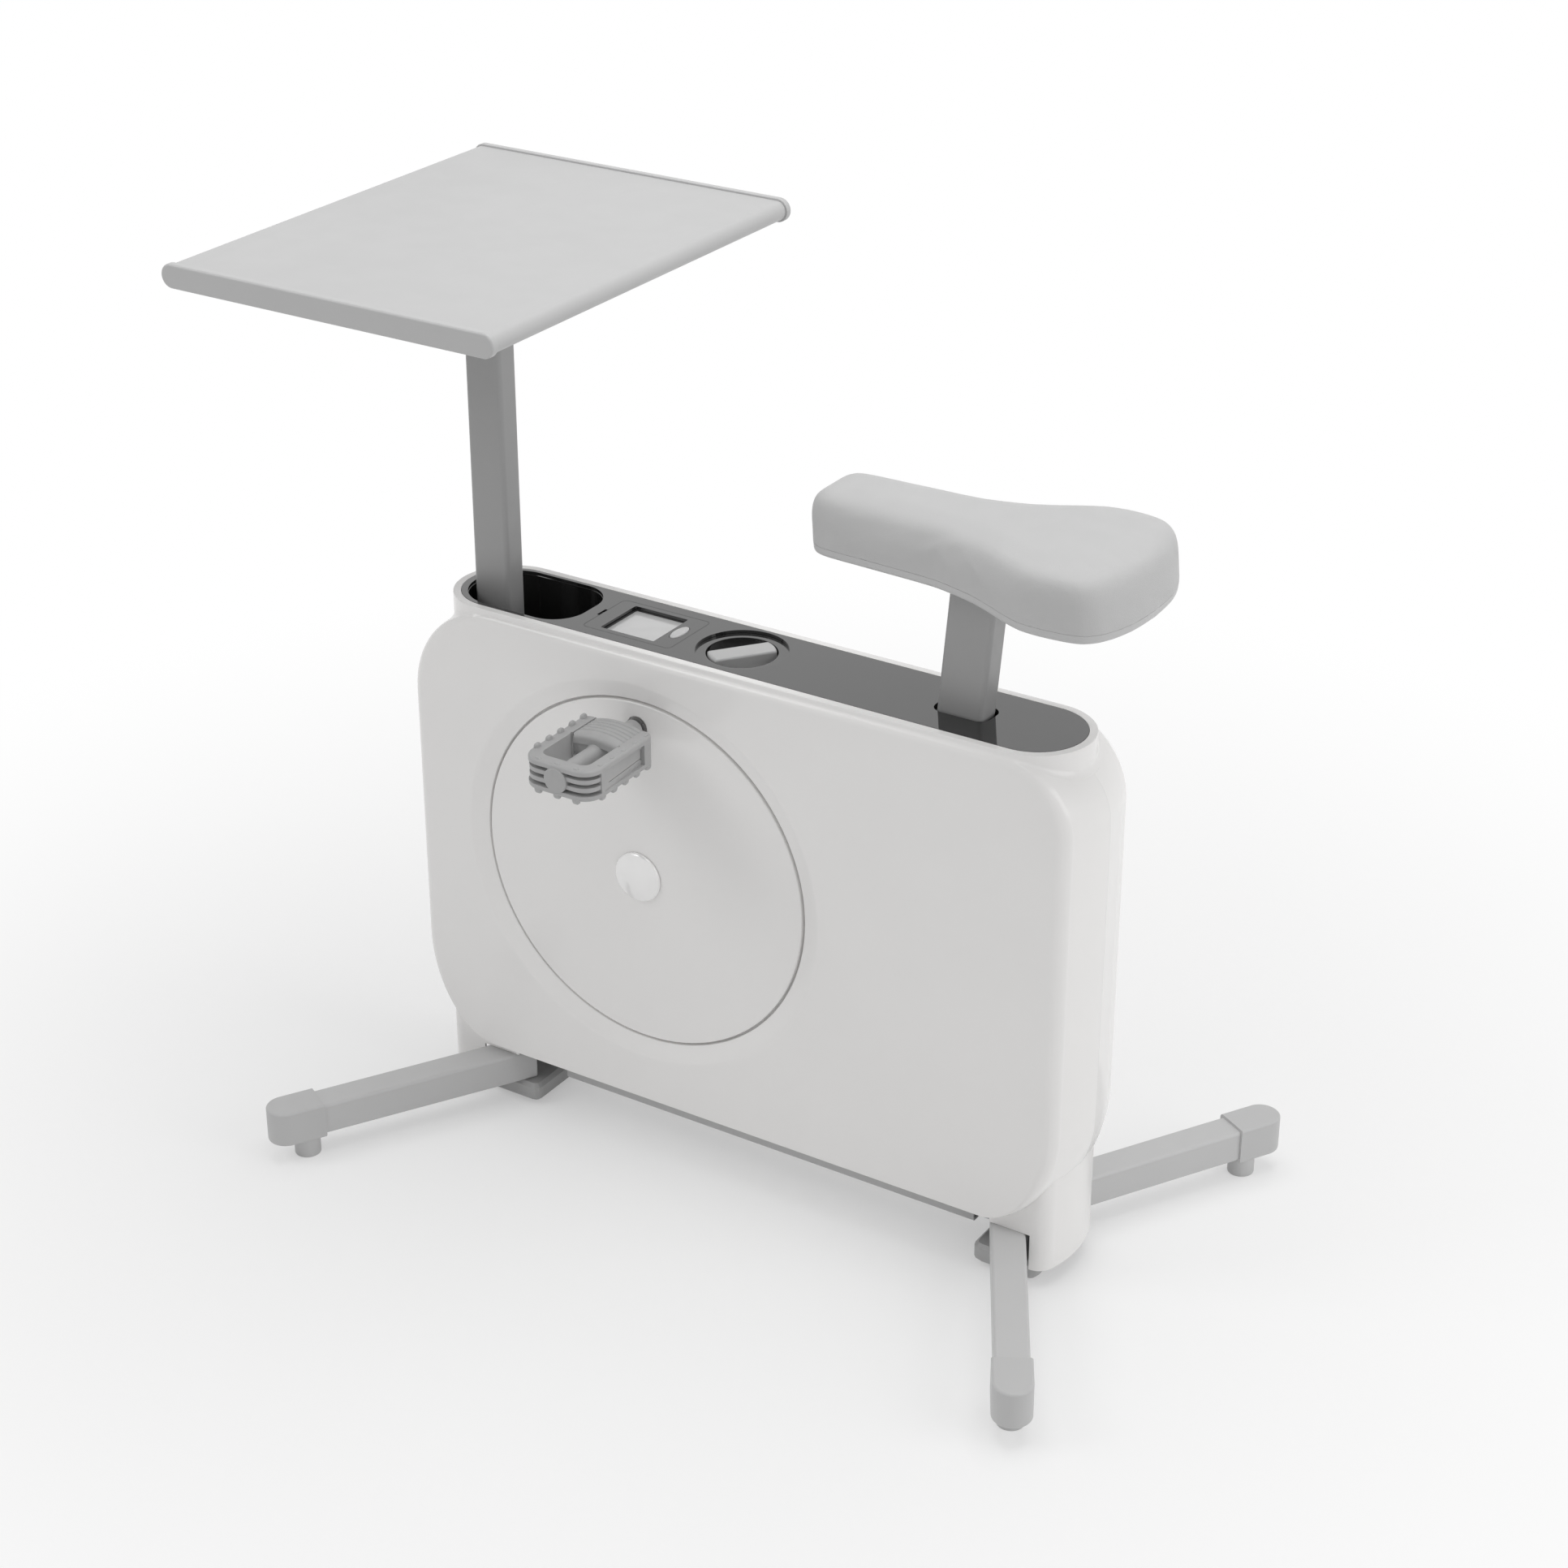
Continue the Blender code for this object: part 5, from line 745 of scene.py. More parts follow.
DISC_RADIUS, DISC_SOFT = 0.1926, 0.0016
DISC_EDGE_Y = 0.0580
DISC_BACK = DISC_EDGE_Y - 0.0076
DOME = 0.0060
AXLE_RADIUS, BOSS_RADIUS = 0.0103, 0.022
AXLE_CAP_RADIUS, AXLE_CAP_ROLL, AXLE_CAP_RISE = 0.0272, 0.0035, 0.0095
PEDAL_THROW = 0.1660
PEDAL_LEAN = math.radians(0.65)
SOCKET_RADIUS, BORE_RADIUS = 0.0124, 0.0068     # for the pedal's barrel and its spindle
CRANK_OUTSIDE = 0.07        # a level outside the crank, for cutters


def pedal_place(side):
    """The pedal axle's x, z at rest: the near pedal is up and the far one down."""
    throw = side * PEDAL_THROW
    return (CRANK[0] + throw * math.sin(PEDAL_LEAN), CRANK[1] - throw * math.cos(PEDAL_LEAN))


pearl = Finish("pearl_white")
cap_pearl = pearl.surface(base_color=pearl.clouds(0.02, 247, 252, warmth=0.6), roughness=0.15, metallic=0.13,
                          coat_weight=0.9, coat_roughness=0.05)
boss_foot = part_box("far_crank_disc")[0].y
disc_profile = [(AXLE_RADIUS, boss_foot), (BOSS_RADIUS, boss_foot), (BOSS_RADIUS, DISC_BACK),
                (DISC_RADIUS, DISC_BACK)]
for inset, drop in eased(DISC_SOFT, (0, 22, 45, 68, 90)):
    disc_profile.append((DISC_RADIUS - inset, DISC_EDGE_Y - drop))
for step in range(1, 9):
    share = step / 8
    disc_profile.append((DISC_RADIUS - DISC_SOFT - (DISC_RADIUS - 0.0316) * share,
                         DISC_EDGE_Y + DOME * (0.75 * share + 0.25 * share ** 2)))
disc_profile.append((AXLE_RADIUS, DISC_EDGE_Y + DOME))
cap_foot = DISC_EDGE_Y + DOME + GAP
cap_profile = [(0, cap_foot), (AXLE_CAP_RADIUS - 0.0006, cap_foot), (AXLE_CAP_RADIUS, cap_foot + 0.0004)]
for angle in range(90, 23, -11):
    swing = math.radians(angle)
    cap_profile.append((AXLE_CAP_RADIUS - AXLE_CAP_ROLL * (1 - math.sin(swing)),
                        cap_foot + 0.0007 + AXLE_CAP_ROLL * math.cos(swing)))
edge, edge_height = cap_profile[-1]
for step in range(1, 9):
    radius = edge * (1 - step / 8)
    rise = (cap_foot + AXLE_CAP_RISE - edge_height) * (1 - (radius / edge) ** 2)
    cap_profile.append((radius, edge_height + rise))
for word, side in (("near", -1), ("far", 1)):
    disc = new_object(word + "_crank_plate", turned(disc_profile, CRANK, "y", 160, side))
    socket = peg(SOCKET_RADIUS, DISC_EDGE_Y - 0.004, CRANK_OUTSIDE, pedal_place(side), 48, side)
    bore = peg(BORE_RADIUS, DISC_BACK - 0.01, CRANK_OUTSIDE, pedal_place(side), 32, side)
    carve(disc, [socket, bore])
    fit(disc, "crank", "white_shell", shell_white, word + "_crank_disc")
    cap = new_object(word + "_axle_cap", turned(cap_profile, CRANK, "y", 72, side))
    fit(cap, "crank", "white_shell", cap_pearl, word + "_hub_cap")


# The pedals: platform pedals moulded in grey plastic. A toothed and louvred rail in a U, a grooved block
# across it over the axle, a waisted tube and a round boss at the outer end, and a barrel that stands in the
# crank plate.

PEDAL_HALF = 0.0416
PEDAL_LEVEL = 0.0165        # half of the pedal's height
PEDAL_INNER_Y, PEDAL_OUTER_Y = 0.0870, 0.1969
PEDAL_CORNER = 0.0195
PEDAL_RAIL = 0.0135
PEDAL_RING = 0.0056         # height of the plain rings above and below the louvres
PEDAL_SOFT = 0.0026
BLOCK_OUTER_Y = PEDAL_INNER_Y + 0.0440
BLOCK_LIP = 0.006
LIP_FOOT_Y = BLOCK_OUTER_Y - 0.0045
RECESS = 0.0060
TUBE_END, TUBE_WAIST, TUBE_THIN = 0.0135, 0.0100, 0.0035
REBATE = 0.0010             # how far the louvres stand back
STUD_RISE, MARK_RISE = 0.0040, 0.0009
SOFT_STEPS = (90, 68, 45, 22, 0)


def pedal_rail():
    """The rail's block, with its upper and lower edges rolled over."""
    rows = []
    for inset, lift in eased(PEDAL_SOFT, SOFT_STEPS):
        plan = rounded((-PEDAL_HALF, PEDAL_INNER_Y), (PEDAL_HALF, PEDAL_OUTER_Y),
                       (0.010, 0.010, PEDAL_CORNER, PEDAL_CORNER), 12, -inset)
        rows.append(raised(plan, -PEDAL_LEVEL + lift))
    rows += [[(x, y, -z) for x, y, z in row] for row in reversed(rows)]
    return solid(rows)


def pedal_window():
    low = (-PEDAL_HALF + PEDAL_RAIL, PEDAL_INNER_Y - 0.01)
    high = (PEDAL_HALF - PEDAL_RAIL, PEDAL_OUTER_Y - PEDAL_RAIL)
    return prism(rounded(low, high, (0.004, 0.004, 0.0098, 0.0098), 8), -0.03, 0.03)


def pedal_end(straight, far, depth, low, high):
    """What lies outside the rail's round outer end, and a little way into it."""
    reach = PEDAL_HALF + 0.01
    points = [(-reach, straight), (-reach, far), (reach, far), (reach, straight)]
    for end, start in ((1, 0), (-1, 90)):
        centre = (end * (PEDAL_HALF - PEDAL_CORNER), straight)
        points += arc(centre, PEDAL_CORNER - depth, start, start + 90, 10)
    return prism(points, low, high)


def pedal_slot(index):
    """A louvre slot round the outer end."""
    band = 2 * (PEDAL_LEVEL - PEDAL_RING) / 5
    low = -PEDAL_LEVEL + PEDAL_RING + 2 * index * band
    straight, far = PEDAL_OUTER_Y - PEDAL_CORNER, PEDAL_OUTER_Y + 0.01
    return pedal_end(straight, far, 0.0082, low + 3 * STEP, low + band - 3 * STEP)


def pedal_rebate():
    """What sets the louvres back a little behind the rings."""
    level = PEDAL_LEVEL - PEDAL_RING - STEP
    straight, far = PEDAL_OUTER_Y - PEDAL_CORNER + STEP, PEDAL_OUTER_Y - REBATE + 0.02
    return pedal_end(straight, far, REBATE, -level, level)


def pedal_side(end, near, far, near_depth, far_depth, low, high):
    """A wedge cut into a rail's side."""
    out = end * (PEDAL_HALF + 0.01)
    points = [(end * (PEDAL_HALF - near_depth), near), (out, near), (out, far),
              (end * (PEDAL_HALF - far_depth), far)]
    return prism(points, low, high)


def pedal_panel(end):
    """The wedge sunk into a rail's side, deepest at the crank's end."""
    far = PEDAL_OUTER_Y - PEDAL_CORNER - 0.004
    level = PEDAL_LEVEL - PEDAL_RING
    return pedal_side(end, PEDAL_INNER_Y + 0.018, far, 0.0040, GAP, -level, level)


def pedal_crease(end):
    """The fine step that runs along the panel, a third of the way up."""
    return pedal_side(end, PEDAL_INNER_Y + 0.020, PEDAL_INNER_Y + 0.078, 0.0047, 0.0014, -0.0046, -0.0038)


def pedal_block():
    """The grooved block: arched over the axle, with a round lip that stands out over a recess."""
    wide = PEDAL_HALF - PEDAL_RAIL + 0.0004
    inner = PEDAL_INNER_Y + 0.0010
    stations = [(inner, 0.0012), (inner + 0.0004, 0.0004), (inner + 0.0012, 0.0)]
    pitch = (BLOCK_OUTER_Y - BLOCK_LIP - inner) / 6
    groove = ((-0.0011, 0.0), (-0.0005, 0.0009), (0.0, 0.0013), (0.0005, 0.0009), (0.0011, 0.0))
    for index in range(5):
        place = inner + pitch * (index + 1)
        stations += [(place + shift, drop) for shift, drop in groove]
    stations += [(BLOCK_OUTER_Y - back, drop) for drop, back in eased(BLOCK_LIP, range(0, 91, 15))]
    levels = [(y, PEDAL_LEVEL - 0.0010 - drop, 0.0048) for y, drop in stations]
    levels += [(BLOCK_OUTER_Y, RECESS, 0.0030), (LIP_FOOT_Y, RECESS, 0.0030)]
    shares = [1 - step / 8 for step in range(17)]
    rows = []
    for y, level, crown in levels:
        face = [(wide * share, level + crown * (1 - share ** 2)) for share in shares]
        rows.append([(x, y, z) for x, z in face] + [(-x, y, -z) for x, z in face])
    return solid(rows)


def pedal_tube():
    """The barrel, the waisted axle tube and the boss, turned on the axle."""
    tip, far = PEDAL_OUTER_Y + 0.0012, PEDAL_OUTER_Y - PEDAL_RAIL
    profile = [(0, 0.0632), (0.0100, 0.0632), (0.0108, 0.0640), (0.0108, PEDAL_INNER_Y + 0.006),
               (TUBE_END, PEDAL_INNER_Y + 0.0065), (TUBE_END, LIP_FOOT_Y)]
    for step in range(1, 8):
        share = step / 8
        waist = TUBE_THIN * math.sin(math.radians(90 * share)) ** 0.8
        profile.append((TUBE_END - waist, LIP_FOOT_Y + 0.010 * share))
    for step in range(0, 8):
        share = step / 8
        flare = TUBE_THIN * (1 - math.cos(math.radians(90 * share))) ** 0.9
        profile.append((TUBE_WAIST + flare, far - 0.011 + 0.011 * share))
    profile += [(0.0132, far + 0.0004), (0.0132, tip - 0.0008), (0.0124, tip), (0, tip)]
    return turned(profile, (0, 0), "y", 48)


def pedal_pockets():
    """The small cuts beside the block, and a slot in the side of each rail."""
    holes = []
    for end in (-1, 1):
        x, y = end * (PEDAL_HALF - PEDAL_RAIL - 0.0004), BLOCK_OUTER_Y - 0.0012
        holes.append(prism(ring((x, y), 0.0019, 16), -0.03, 0.03))
        for level in (-1, 1):
            low, high = sorted((level * (PEDAL_LEVEL - 0.0042), level * 0.03))
            holes.append(block((x - 0.0004, PEDAL_INNER_Y - 0.01, low), (x - 0.0004 + 0.0008, y, high)))
        spot = PEDAL_INNER_Y + 0.0184
        near, far = sorted((end * (PEDAL_HALF - 0.0058), end * (PEDAL_HALF + 0.002)))
        holes.append(block((near, spot, -0.0066), (far, spot + 0.0016, 0.0058)))
    return holes


def stud(place, size, level):
    """A blunt tooth: it starts in the rail and narrows to a rounded tip."""
    rows = []
    x, y = place
    tall = size[2]
    for rise, share in ((-0.0026, 1.0), (0.0, 1.0), (tall * 0.4, 0.94), (tall * 0.7, 0.84),
                        (tall * 0.9, 0.68), (tall, 0.46)):
        half = (size[0] / 2 * share, size[1] / 2 * share)
        plan = rounded((x - half[0], y - half[1]), (x + half[0], y + half[1]), min(half) * 0.7, 4)
        rows.append(raised(plan, level * (PEDAL_LEVEL + rise)))
    return solid(rows)


def pedal_studs():
    """Teeth on top of the leading rail, and under the trailing rail and the outer end."""
    first = PEDAL_INNER_Y + 0.0088
    pitch = (PEDAL_OUTER_Y - PEDAL_CORNER - 0.0048 - first) / 4
    side_x = PEDAL_HALF - 0.0034
    mark_x = side_x - 0.0012
    tooth, mark = (0.0050, 0.0085, STUD_RISE), (0.0036, 0.0060, MARK_RISE)
    spots = []
    for index in range(5):
        y = first + pitch * index
        spots += [((-side_x, y), tooth, 1), ((side_x, y), tooth, -1)]
        spots += [((mark_x, y), mark, 1), ((-mark_x, y), mark, -1)]
    for x in (-0.0225, 0.0, 0.0225):
        spots += [((x, PEDAL_OUTER_Y - 0.0032), (0.0085, 0.0050, STUD_RISE), -1),
                  ((x, PEDAL_OUTER_Y - 0.0044), (0.0060, 0.0036, MARK_RISE), 1)]
    return [stud(*spot) for spot in spots]


def joined(parts):
    """Several closed forms as one mesh."""
    whole = bmesh.new()
    for bm in parts:
        mesh = bpy.data.meshes.new("part")
        bmesh.ops.recalc_face_normals(bm, faces=bm.faces)
        bm.to_mesh(mesh)
        bm.free()
        whole.from_mesh(mesh)
        bpy.data.meshes.remove(mesh)
    return whole


pedal_finish = Finish("pedal_plastic")
grain = pedal_finish.bump(pedal_finish.noise(0.0006, 2.0), 0.00004)
worn = pedal_finish.grade(pedal_finish.noise(0.02, 3.0), 0.35, 0.7, 0.42, 0.56)
flow_tone = pedal_finish.clouds(0.012, 172, 181)
pedal_grey = pedal_finish.surface(base_color=flow_tone, roughness=worn, normal=grain)
for word, side in (("near", -1), ("far", 1)):
    x, z = pedal_place(side)
    pedal = new_object(word + "_platform", pedal_rail())
    cuts = [pedal_window(), pedal_rebate()] + [pedal_slot(index) for index in range(3)]
    carve(pedal, cuts + [pedal_panel(end) for end in (-1, 1)] + [pedal_crease(end) for end in (-1, 1)])
    carve(pedal, [pedal_block(), pedal_tube()], "UNION")
    carve(pedal, pedal_pockets())
    carve(pedal, [joined(pedal_studs())], "UNION")
    pedal.data.transform(Matrix.Translation((x, 0, z)) @ Matrix.Scale(side, 4, (0, 1, 0)))
    if side < 0:
        pedal.data.flip_normals()
    soft_edge = pedal.modifiers.new("soft_edge", "BEVEL")
    soft_edge.width = 0.0004
    soft_edge.segments = 2
    soft_edge.limit_method = "ANGLE"
    soft_edge.angle_limit = math.radians(40)
    settle(pedal, 50)
    fit(pedal, word + "_pedal", "pale_plastic", pedal_grey, word + "_pedal")


# The pedals' spindles and the rest of the drive: bright turned steel on the crank, a cast iron flywheel, a
# black moulded pulley and a ribbed rubber belt, all held between two pressed steel plates inside the body.

def turned_steel(name, level, rough, metal=1.0, stretch=(1, 1, 1), size=0.0008):
    """Machined or pressed steel: fine tool marks, and a film of oil that wanders."""
    finish = Finish(name)
    marks = finish.noise(size, 2.0, stretch)
    film = finish.wander(0.025, rough * 0.8, rough * 1.25)
    tone = finish.blend(marks, grey(level - 8), grey(level + 8))
    return finish.surface(base_color=tone, roughness=film, metallic=metal, normal=finish.bump(marks, 0.00002))


bright_steel = turned_steel("bright_steel", 196, 0.28, 1.0, (1, 12, 1))
pressed_steel = turned_steel("pressed_steel", 176, 0.42)
black_moulding = moulded("black_moulding", 42, 0.45, 0.00004)
finishes = {
    "near_pedal_spindle": bright_steel, "far_pedal_spindle": bright_steel, "crank_axle": bright_steel,
    "near_crank_bearing": bright_steel, "far_crank_bearing": bright_steel, "flywheel_axle": bright_steel,
    "near_frame_plate": pressed_steel, "far_frame_plate": pressed_steel, "brake_arm": pressed_steel,
    "flywheel": turned_steel("cast_iron", 96, 0.6, 0.9, (1, 1, 1), 0.002),
    "drive_belt": moulded("belt_rubber", 34, 0.7, 0.0001), "drive_pulley": black_moulding,
    "seat_sleeve": black_moulding, "desk_sleeve": black_moulding, "display_housing": cup_black}


# The desk: a board of light grey laminate with bullnose edges, a moulded cap screwed to each end that stands
# a little proud, and a pressed bracket that holds it on the post.

DESK_FRONT, DESK_REAR = MIDDLE - 0.5294, MIDDLE - 0.1343
DESK_HALF, DESK_TOP = 0.2485, 0.967
CAP_THICK, CAP_WIDTH = 0.0245, 0.0080
CAP_STEP = 0.0020           # how far the caps stand proud of the board


def bullnose(inset):
    """The section of a cap, drawn in on all sides."""
    low, high = DESK_TOP - CAP_THICK + inset, DESK_TOP - inset
    return stadium(DESK_FRONT + inset, DESK_REAR - inset, (high - low) / 2, 20, (high + low) / 2)


laminate = Finish("desk_laminate")
board_grey = laminate.surface(base_color=laminate.clouds(0.15, 192, 197),
                              roughness=laminate.wander(0.04, 0.42, 0.5),
                              normal=laminate.bump(laminate.noise(0.0009, 3.0), 0.00002))
cap_grey = moulded("desk_cap_plastic", 194, 0.4, 0.00003)
board_half = DESK_HALF - CAP_WIDTH - GAP
rows = [[(x, y, z) for x, z in bullnose(CAP_STEP)] for y in (-board_half, board_half)]
fit(new_object("desk_top_board", solid(rows)), "desk", "pale_plastic", board_grey, "desk_board")
stations = eased(0.0008, (90, 55, 25, 0))
stations += [(inset, CAP_WIDTH - along) for inset, along in eased(0.0024, range(0, 91, 15))]
for word, side in (("near", -1), ("far", 1)):
    start = side * (DESK_HALF - CAP_WIDTH)
    rows = [[(x, start + side * along, z) for x, z in bullnose(inset)] for inset, along in stations]
    fit(new_object(word + "_desk_end", solid(rows)), "desk", "pale_plastic", cap_grey, word + "_desk_cap")


# The two posts: rectangular steel tubes in a satin grey powder coat. The desk's slides straight up, and the
# saddle's leans back five degrees in its sleeve.

DESK_TUBE, SEAT_TUBE = (0.044, 0.028), (0.050, 0.030)
POST_CORNER, POST_WALL, POST_EDGE = 0.005, 0.0025, 0.0008
SEAT_LEAN = math.radians(5.0)
PAN_BOTTOM = 0.7295                     # where the saddle's post ends in its pan
SEAT_HEAD = (PAN_BOTTOM - COLLAR_TOP) / math.cos(SEAT_LEAN) + 0.0037


def powder(name, level, rough=0.42, depth=0.00003):
    """Powder coat on steel: a fine orange peel, faint cloudiness, and sparse darker specks."""
    finish = Finish(name)
    specks = finish.grade(finish.noise(0.0007, 1.0), 0.72, 0.80)
    tone = finish.blend(specks, finish.clouds(0.06, level - 2, level + 2), grey(level - 14))
    film = finish.wander(0.02, rough * 0.9, rough * 1.1, 2.0)
    peel = finish.bump(finish.noise(0.0014, 2.0), depth)
    return finish.surface(base_color=tone, roughness=film, normal=peel)


def tube_plan(size, corner, spare=0.0):
    half = (size[0] / 2, size[1] / 2)
    return rounded((-half[0], -half[1]), half, corner, 8, spare)


def post(size, low, high):
    """A rectangular tube, open below and closed by a plug above, with eased top edges."""
    inner, outer = tube_plan(size, POST_CORNER, -POST_WALL), tube_plan(size, POST_CORNER)
    rows = [raised(inner, low), raised(outer, low - STEP)]
    rows += [raised(tube_plan(size, POST_CORNER, -inset), high - drop)
             for inset, drop in eased(POST_EDGE, (0, 45, 90))]
    bm = bmesh.new()
    loops = [loop(bm, row) for row in rows]
    skin(bm, loops)
    lid(bm, loops[-1])
    inside = [loops[0], loop(bm, raised(inner, high - POST_WALL))]
    skin(bm, inside)
    lid(bm, inside[-1])
    return bm


post_coat = powder("post_powder_coat", 165)
desk_low, desk_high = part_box("desk_post")
bm = placed(post(DESK_TUBE, desk_low.z, desk_high.z), Matrix.Translation((DESK_POST_X, 0, 0)))
fit(new_object("desk_column", bm), "desk", "post_grey", post_coat, "desk_post")
lean = Matrix.Translation((SEAT_POST_X, 0, COLLAR_TOP)) @ Matrix.Rotation(SEAT_LEAN, 4, "Y")
bm = placed(post(SEAT_TUBE, -0.220, SEAT_HEAD), lean)
fit(new_object("seat_column", bm), "seat", "post_grey", post_coat, "seat_post")
finishes |= {"desk_head": powder("bracket_coat", 160), "saddle_clamp": powder("clamp_coat", 150)}


# The saddle: moulded foam under a soft grey skin, on a moulded pan that follows its outline and is bolted to
# the post's clamp. The foam swells a little in its skin, and its sides turn over softly into the top.

skin_finish = Finish("saddle_skin")
pores = skin_finish.noise(0.0011, 3.0)
creases = skin_finish.node("ShaderNodeTexVoronoi", {"feature": "DISTANCE_TO_EDGE"},
                           {"Vector": skin_finish.where(), "Scale": 620.0}, "Distance")
pebble = skin_finish.bump(skin_finish.grade(creases, 0.0, 0.12), 0.00006)
saddle_skin = skin_finish.surface(base_color=skin_finish.clouds(0.07, 194, 199),
                                  roughness=skin_finish.wander(0.03, 0.5, 0.6, 2.0),
                                  normal=skin_finish.bump(pores, 0.00003, pebble))

bm = bmesh.new()
bm.from_mesh(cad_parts["saddle_cushion"].data)
cushion = new_object("saddle_pad", bm)
cushion_low, cushion_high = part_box("saddle_cushion")
SWELL = 0.0022              # how far the pad may grow from its smaller start
WAIST, WIDEST = cushion_low.x + 0.208, cushion_low.x + 0.275
SHOULDER = cushion_high.z - 0.0243      # where the sides start to turn over into the top
SKIRT = 0.012               # its start reaches this far below the pan's top, and is cut there at the end
PAN_EDGE = 0.0042


def reshaped(point):
    """The solid's pad, fuller at the foot of the tail, slimmer at the waist and squarer at the shoulder."""
    along = clamped((point.x - WIDEST) / (cushion_high.x - WIDEST))
    height = clamped((point.z - cushion_low.z) / (cushion_high.z - cushion_low.z))
    waist = 1 - 0.06 * math.exp(-((point.x - WAIST) / 0.032) ** 2)
    lift = clamped((point.z - SHOULDER) / (cushion_high.z - SHOULDER))
    squared = (1 - (1 - lift ** 2) ** 1.8) ** (1 / 3.6)
    level = point.z + (cushion_high.z - SHOULDER) * (squared - lift)
    return Vector((point.x + 0.013 * along * (1 - height), point.y * waist, level))


def relaxed(name, rounds):
    smooth = cushion.modifiers.new(name, "SMOOTH")
    smooth.factor = 0.5
    smooth.iterations = rounds
    return smooth


start_shape = bmesh.new()
start_shape.from_mesh(cushion.data)
for vert in start_shape.verts:
    vert.normal_update()
for vert in start_shape.verts:
    share = clamped((vert.co.z - cushion_low.z) / 0.016)
    vert.co -= vert.normal * SWELL * 0.5 * share
    vert.co = reshaped(vert.co)
    if vert.co.z < cushion_low.z + 0.001:
        vert.co.z -= SKIRT
start_shape.to_mesh(cushion.data)
start_shape.free()
remesh = cushion.modifiers.new("even", "REMESH")
remesh.mode = "VOXEL"
remesh.voxel_size = 0.0032
relaxed("relax", 5)
relaxed("even_sides", 16).use_z = False
settle(cushion, 180)
resting = [vert.co.copy() for vert in cushion.data.vertices]
held = cushion.vertex_groups.new(name="held")
for vert in cushion.data.vertices:
    if vert.co.z < cushion_low.z + 0.004:
        held.add([vert.index], 1.0, "REPLACE")
cloth = cushion.modifiers.new("cloth", "CLOTH")
cloth.settings.use_pressure = True
cloth.settings.uniform_pressure_force = 1.4
cloth.settings.tension_stiffness = 40.0
cloth.settings.compression_stiffness = 40.0
cloth.settings.bending_stiffness = 4.0
cloth.settings.vertex_group_mass = "held"
cloth.settings.effector_weights.gravity = 0.0
for step in range(1, 21):
    scene.frame_set(step)
settle(cushion, 180)
scene.frame_set(1)
for vert, rest in zip(cushion.data.vertices, resting):
    move = vert.co - rest
    if move.length > SWELL:
        vert.co = rest + move.normalized() * SWELL
relaxed("calm", 9)
finer = cushion.modifiers.new("finer", "SUBSURF")
finer.levels = finer.render_levels = 1
settle(cushion, 180)
trimmed = bmesh.new()
trimmed.from_mesh(cushion.data)
everything = trimmed.verts[:] + trimmed.edges[:] + trimmed.faces[:]
cut = bmesh.ops.bisect_plane(trimmed, geom=everything, dist=1e-6, plane_co=(0, 0, cushion_low.z + STEP),
                             plane_no=(0, 0, 1), clear_inner=True)["geom_cut"]
rim = [each for each in cut if isinstance(each, bmesh.types.BMEdge)]
underside = max(bmesh.ops.holes_fill(trimmed, edges=rim, sides=0)["faces"], key=lambda face: face.calc_area())
underside.normal_update()
inwards = 1 if underside.normal.z > 0 else -1
pad_outline = [vert.co.copy() for vert in underside.verts][::3]
trimmed.to_mesh(cushion.data)
trimmed.free()
cushion.vertex_groups.clear()
fit(cushion, "seat", "saddle_pad", saddle_skin, "saddle_cushion")


def pan_row(inset, level):
    """The pad's outline, drawn in on all sides."""
    row = []
    for index, point in enumerate(pad_outline):
        way = (pad_outline[(index + 1) % len(pad_outline)] - pad_outline[index - 1]).normalized() * inwards
        row.append((point.x - way.y * inset, point.y + way.x * inset, level))
    return row


pan_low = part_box("saddle_pan")[0].z
rows = [pan_row(0.0005 + inset, pan_low + lift) for inset, lift in eased(PAN_EDGE, SOFT_STEPS)]
rows.append(pan_row(0.0001, cushion_low.z - 0.0001))
saddle_base = new_object("saddle_base", solid(rows))
carve(saddle_base, [placed(prism(tube_plan(SEAT_TUBE, POST_CORNER, GAP), SEAT_HEAD - 0.02, SEAT_HEAD), lean)])
fit(saddle_base, "seat", "pale_plastic", moulded("saddle_pan_plastic", 198, 0.45, 0.00004), "saddle_pan")


# The base: a square tube beam, a cast block under each pair of leg roots, and four splayed square legs in
# grey powder coat, each with a moulded end cap and a levelling foot of dense rubber on a steel stud.

LEG_SPREAD = 0.2832         # of the point where a pair's centre lines meet
LEG_ROOT = 0.0290
LEG_TUBE, LEG_CORNER, LEG_EDGE = 0.035, 0.0035, 0.002
LEG_BOTTOM = 0.0265
CAP_START, CAP_END, CAP_WALL, CAP_EDGE = 0.274, 0.332, 0.0025, 0.0028
FOOT_ALONG = 0.2901
leg_coat = powder("leg_powder_coat", 200, 0.45)
cap_plastic = moulded("leg_cap_plastic", 196, 0.45, 0.00004)
foot_rubber = moulded("foot_rubber", 202, 0.6, 0.00008)


def leg_place(end, side):
    """A leg's own frame: +X runs outward along the tube."""
    heading = Vector((end * 0.5, side * math.sin(math.radians(60)), 0))
    across = Vector((-heading.y, heading.x, 0))
    turn = Matrix((heading, across, Vector((0, 0, 1)))).transposed().to_4x4()
    return Matrix.Translation((MIDDLE + end * LEG_SPREAD, 0, 0)) @ turn


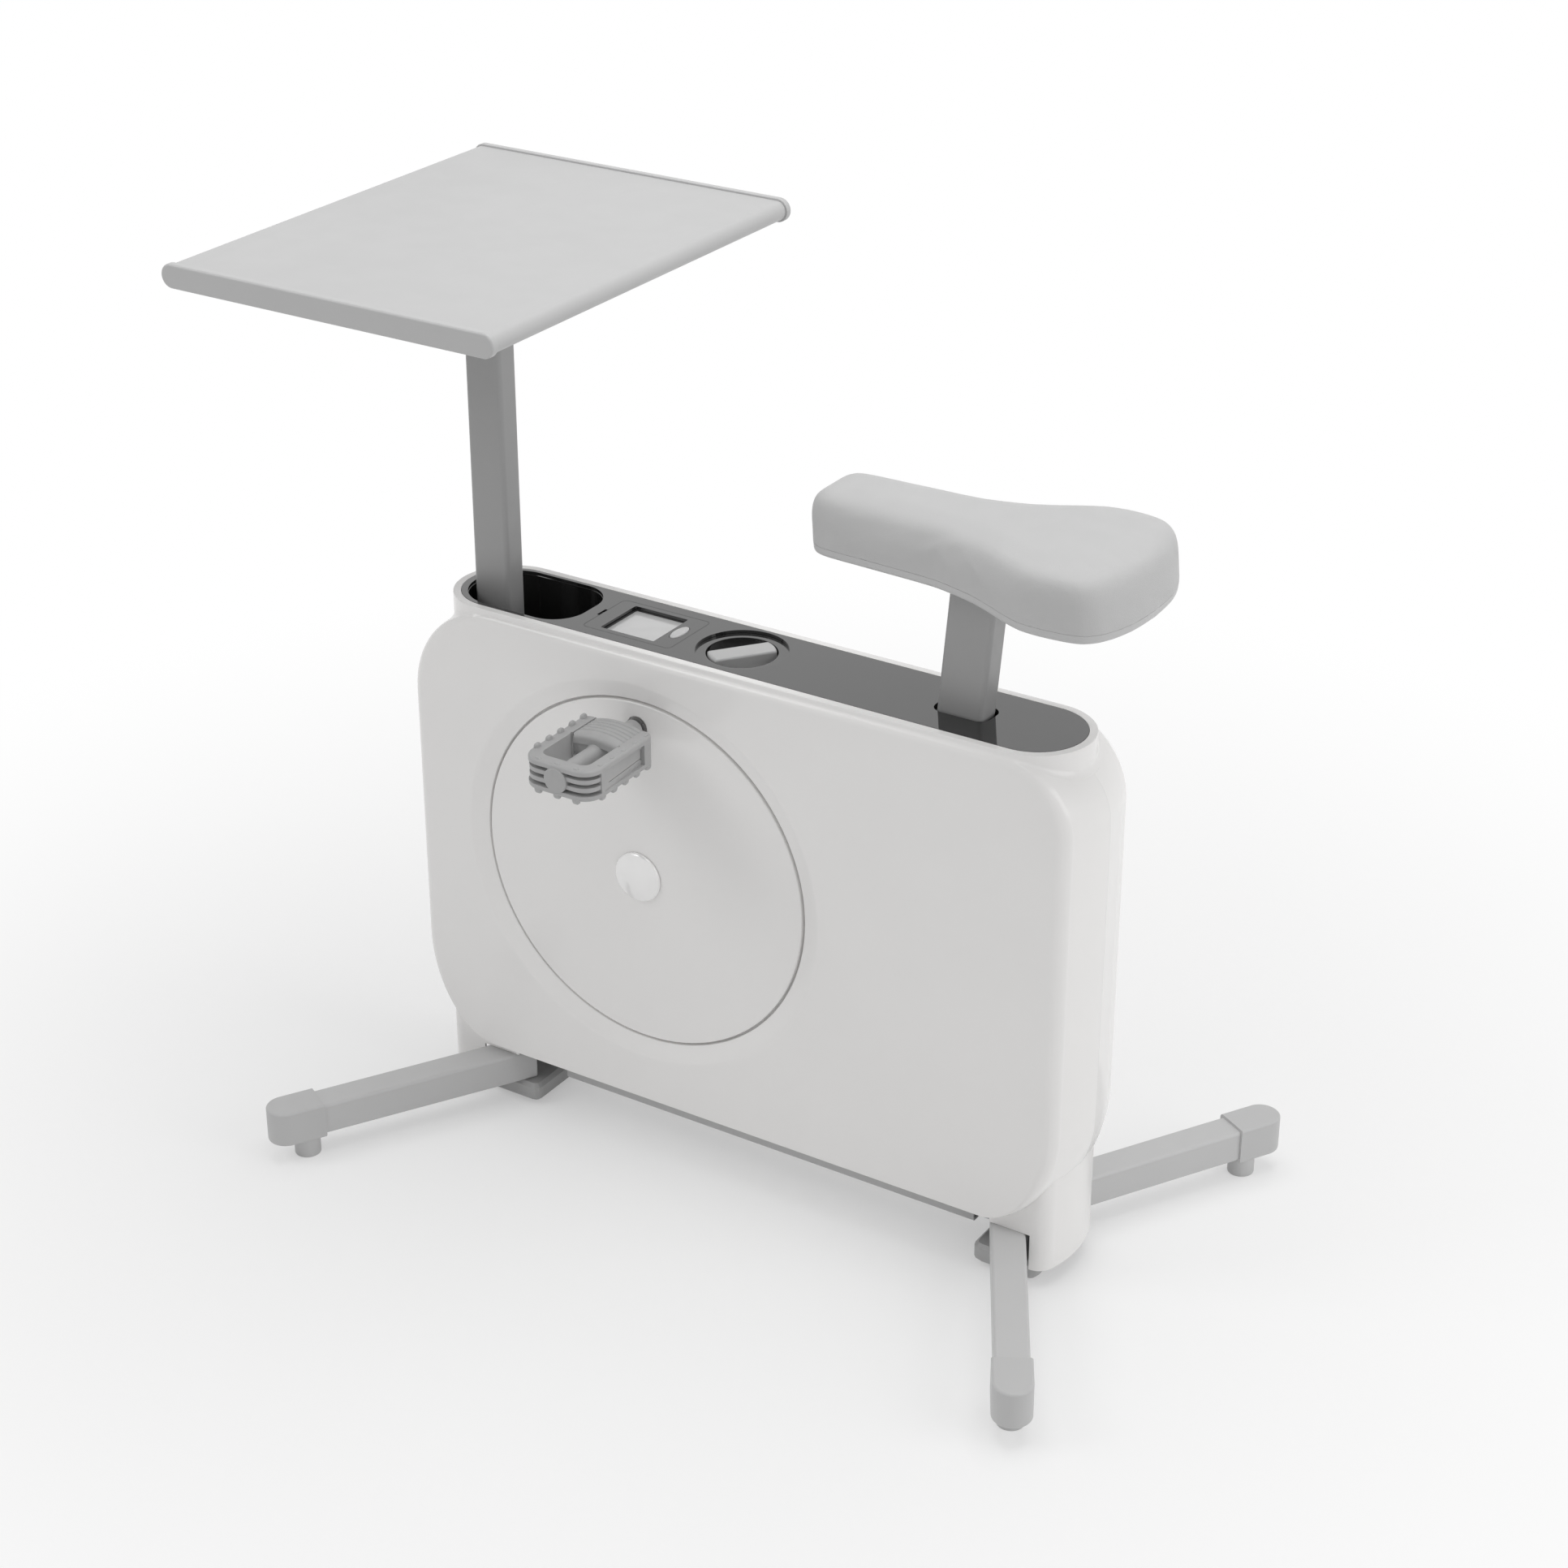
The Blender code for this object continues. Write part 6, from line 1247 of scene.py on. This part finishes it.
def leg_tube():
    """The tube, closed at its root, with its edges eased there."""
    middle = LEG_BOTTOM + LEG_TUBE / 2
    stations = [(inset, LEG_ROOT + along) for inset, along in eased(LEG_EDGE)] + [(0.0, CAP_START + 0.010)]
    return solid([[(x, y, middle + z) for y, z in tube_plan((LEG_TUBE, LEG_TUBE), LEG_CORNER, -inset)]
                  for inset, x in stations])


def leg_cap():
    """The cap over the tube's end: round in plan, with soft edges all round."""
    wide = LEG_TUBE / 2 + CAP_WALL
    low, high = LEG_BOTTOM - CAP_WALL, LEG_BOTTOM + LEG_TUBE + CAP_WALL
    rows = []
    for inset, lift in eased(CAP_EDGE, range(90, -1, -15)):
        x, y = CAP_START + min(inset, 0.0007), wide - inset
        rows.append(raised([(x, -y)] + arc((CAP_END - wide, 0), y, -90, 90, 28) + [(x, y)], low + lift))
    rows += [[(x, y, low + high - z) for x, y, z in row] for row in reversed(rows)]
    return solid(rows)


def foot_form():
    top = LEG_BOTTOM - CAP_WALL - GAP
    profile = [(0, 0), (0.0128, 0), (0.0137, 0.0004), (0.014, 0.0012), (0.014, top - 0.0008), (0.0132, top),
               (0.004, top), (0.004, top + 0.024), (0, top + 0.024)]
    return turned(profile, (FOOT_ALONG, 0), "z", 48)


for end_word, end in (("front", -1), ("rear", 1)):
    for side_word, side in (("near", -1), ("far", 1)):
        name = end_word + "_" + side_word
        forms = (("_leg_tube", leg_tube(), "frame", "leg_grey", leg_coat, "_leg"),
                 ("_leg_end", leg_cap(), "frame", "pale_plastic", cap_plastic, "_leg_cap"),
                 ("_foot", foot_form(), name + "_foot", "rubber", foot_rubber, "_levelling_foot"))
        for word, bm, body, slot, finish, node in forms:
            fit(new_object(name + word, placed(bm, leg_place(end, side))), body, slot, finish, name + node)
block_coat = powder("block_coat", 178, 0.5, 0.00008)
finishes |= {"chassis_beam": leg_coat, "front_hub_block": block_coat, "rear_hub_block": block_coat,
             "front_clamp_plate": pressed_steel, "rear_clamp_plate": pressed_steel}
for name, finish in finishes.items():
    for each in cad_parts[name].material_slots:
        each.material = finish
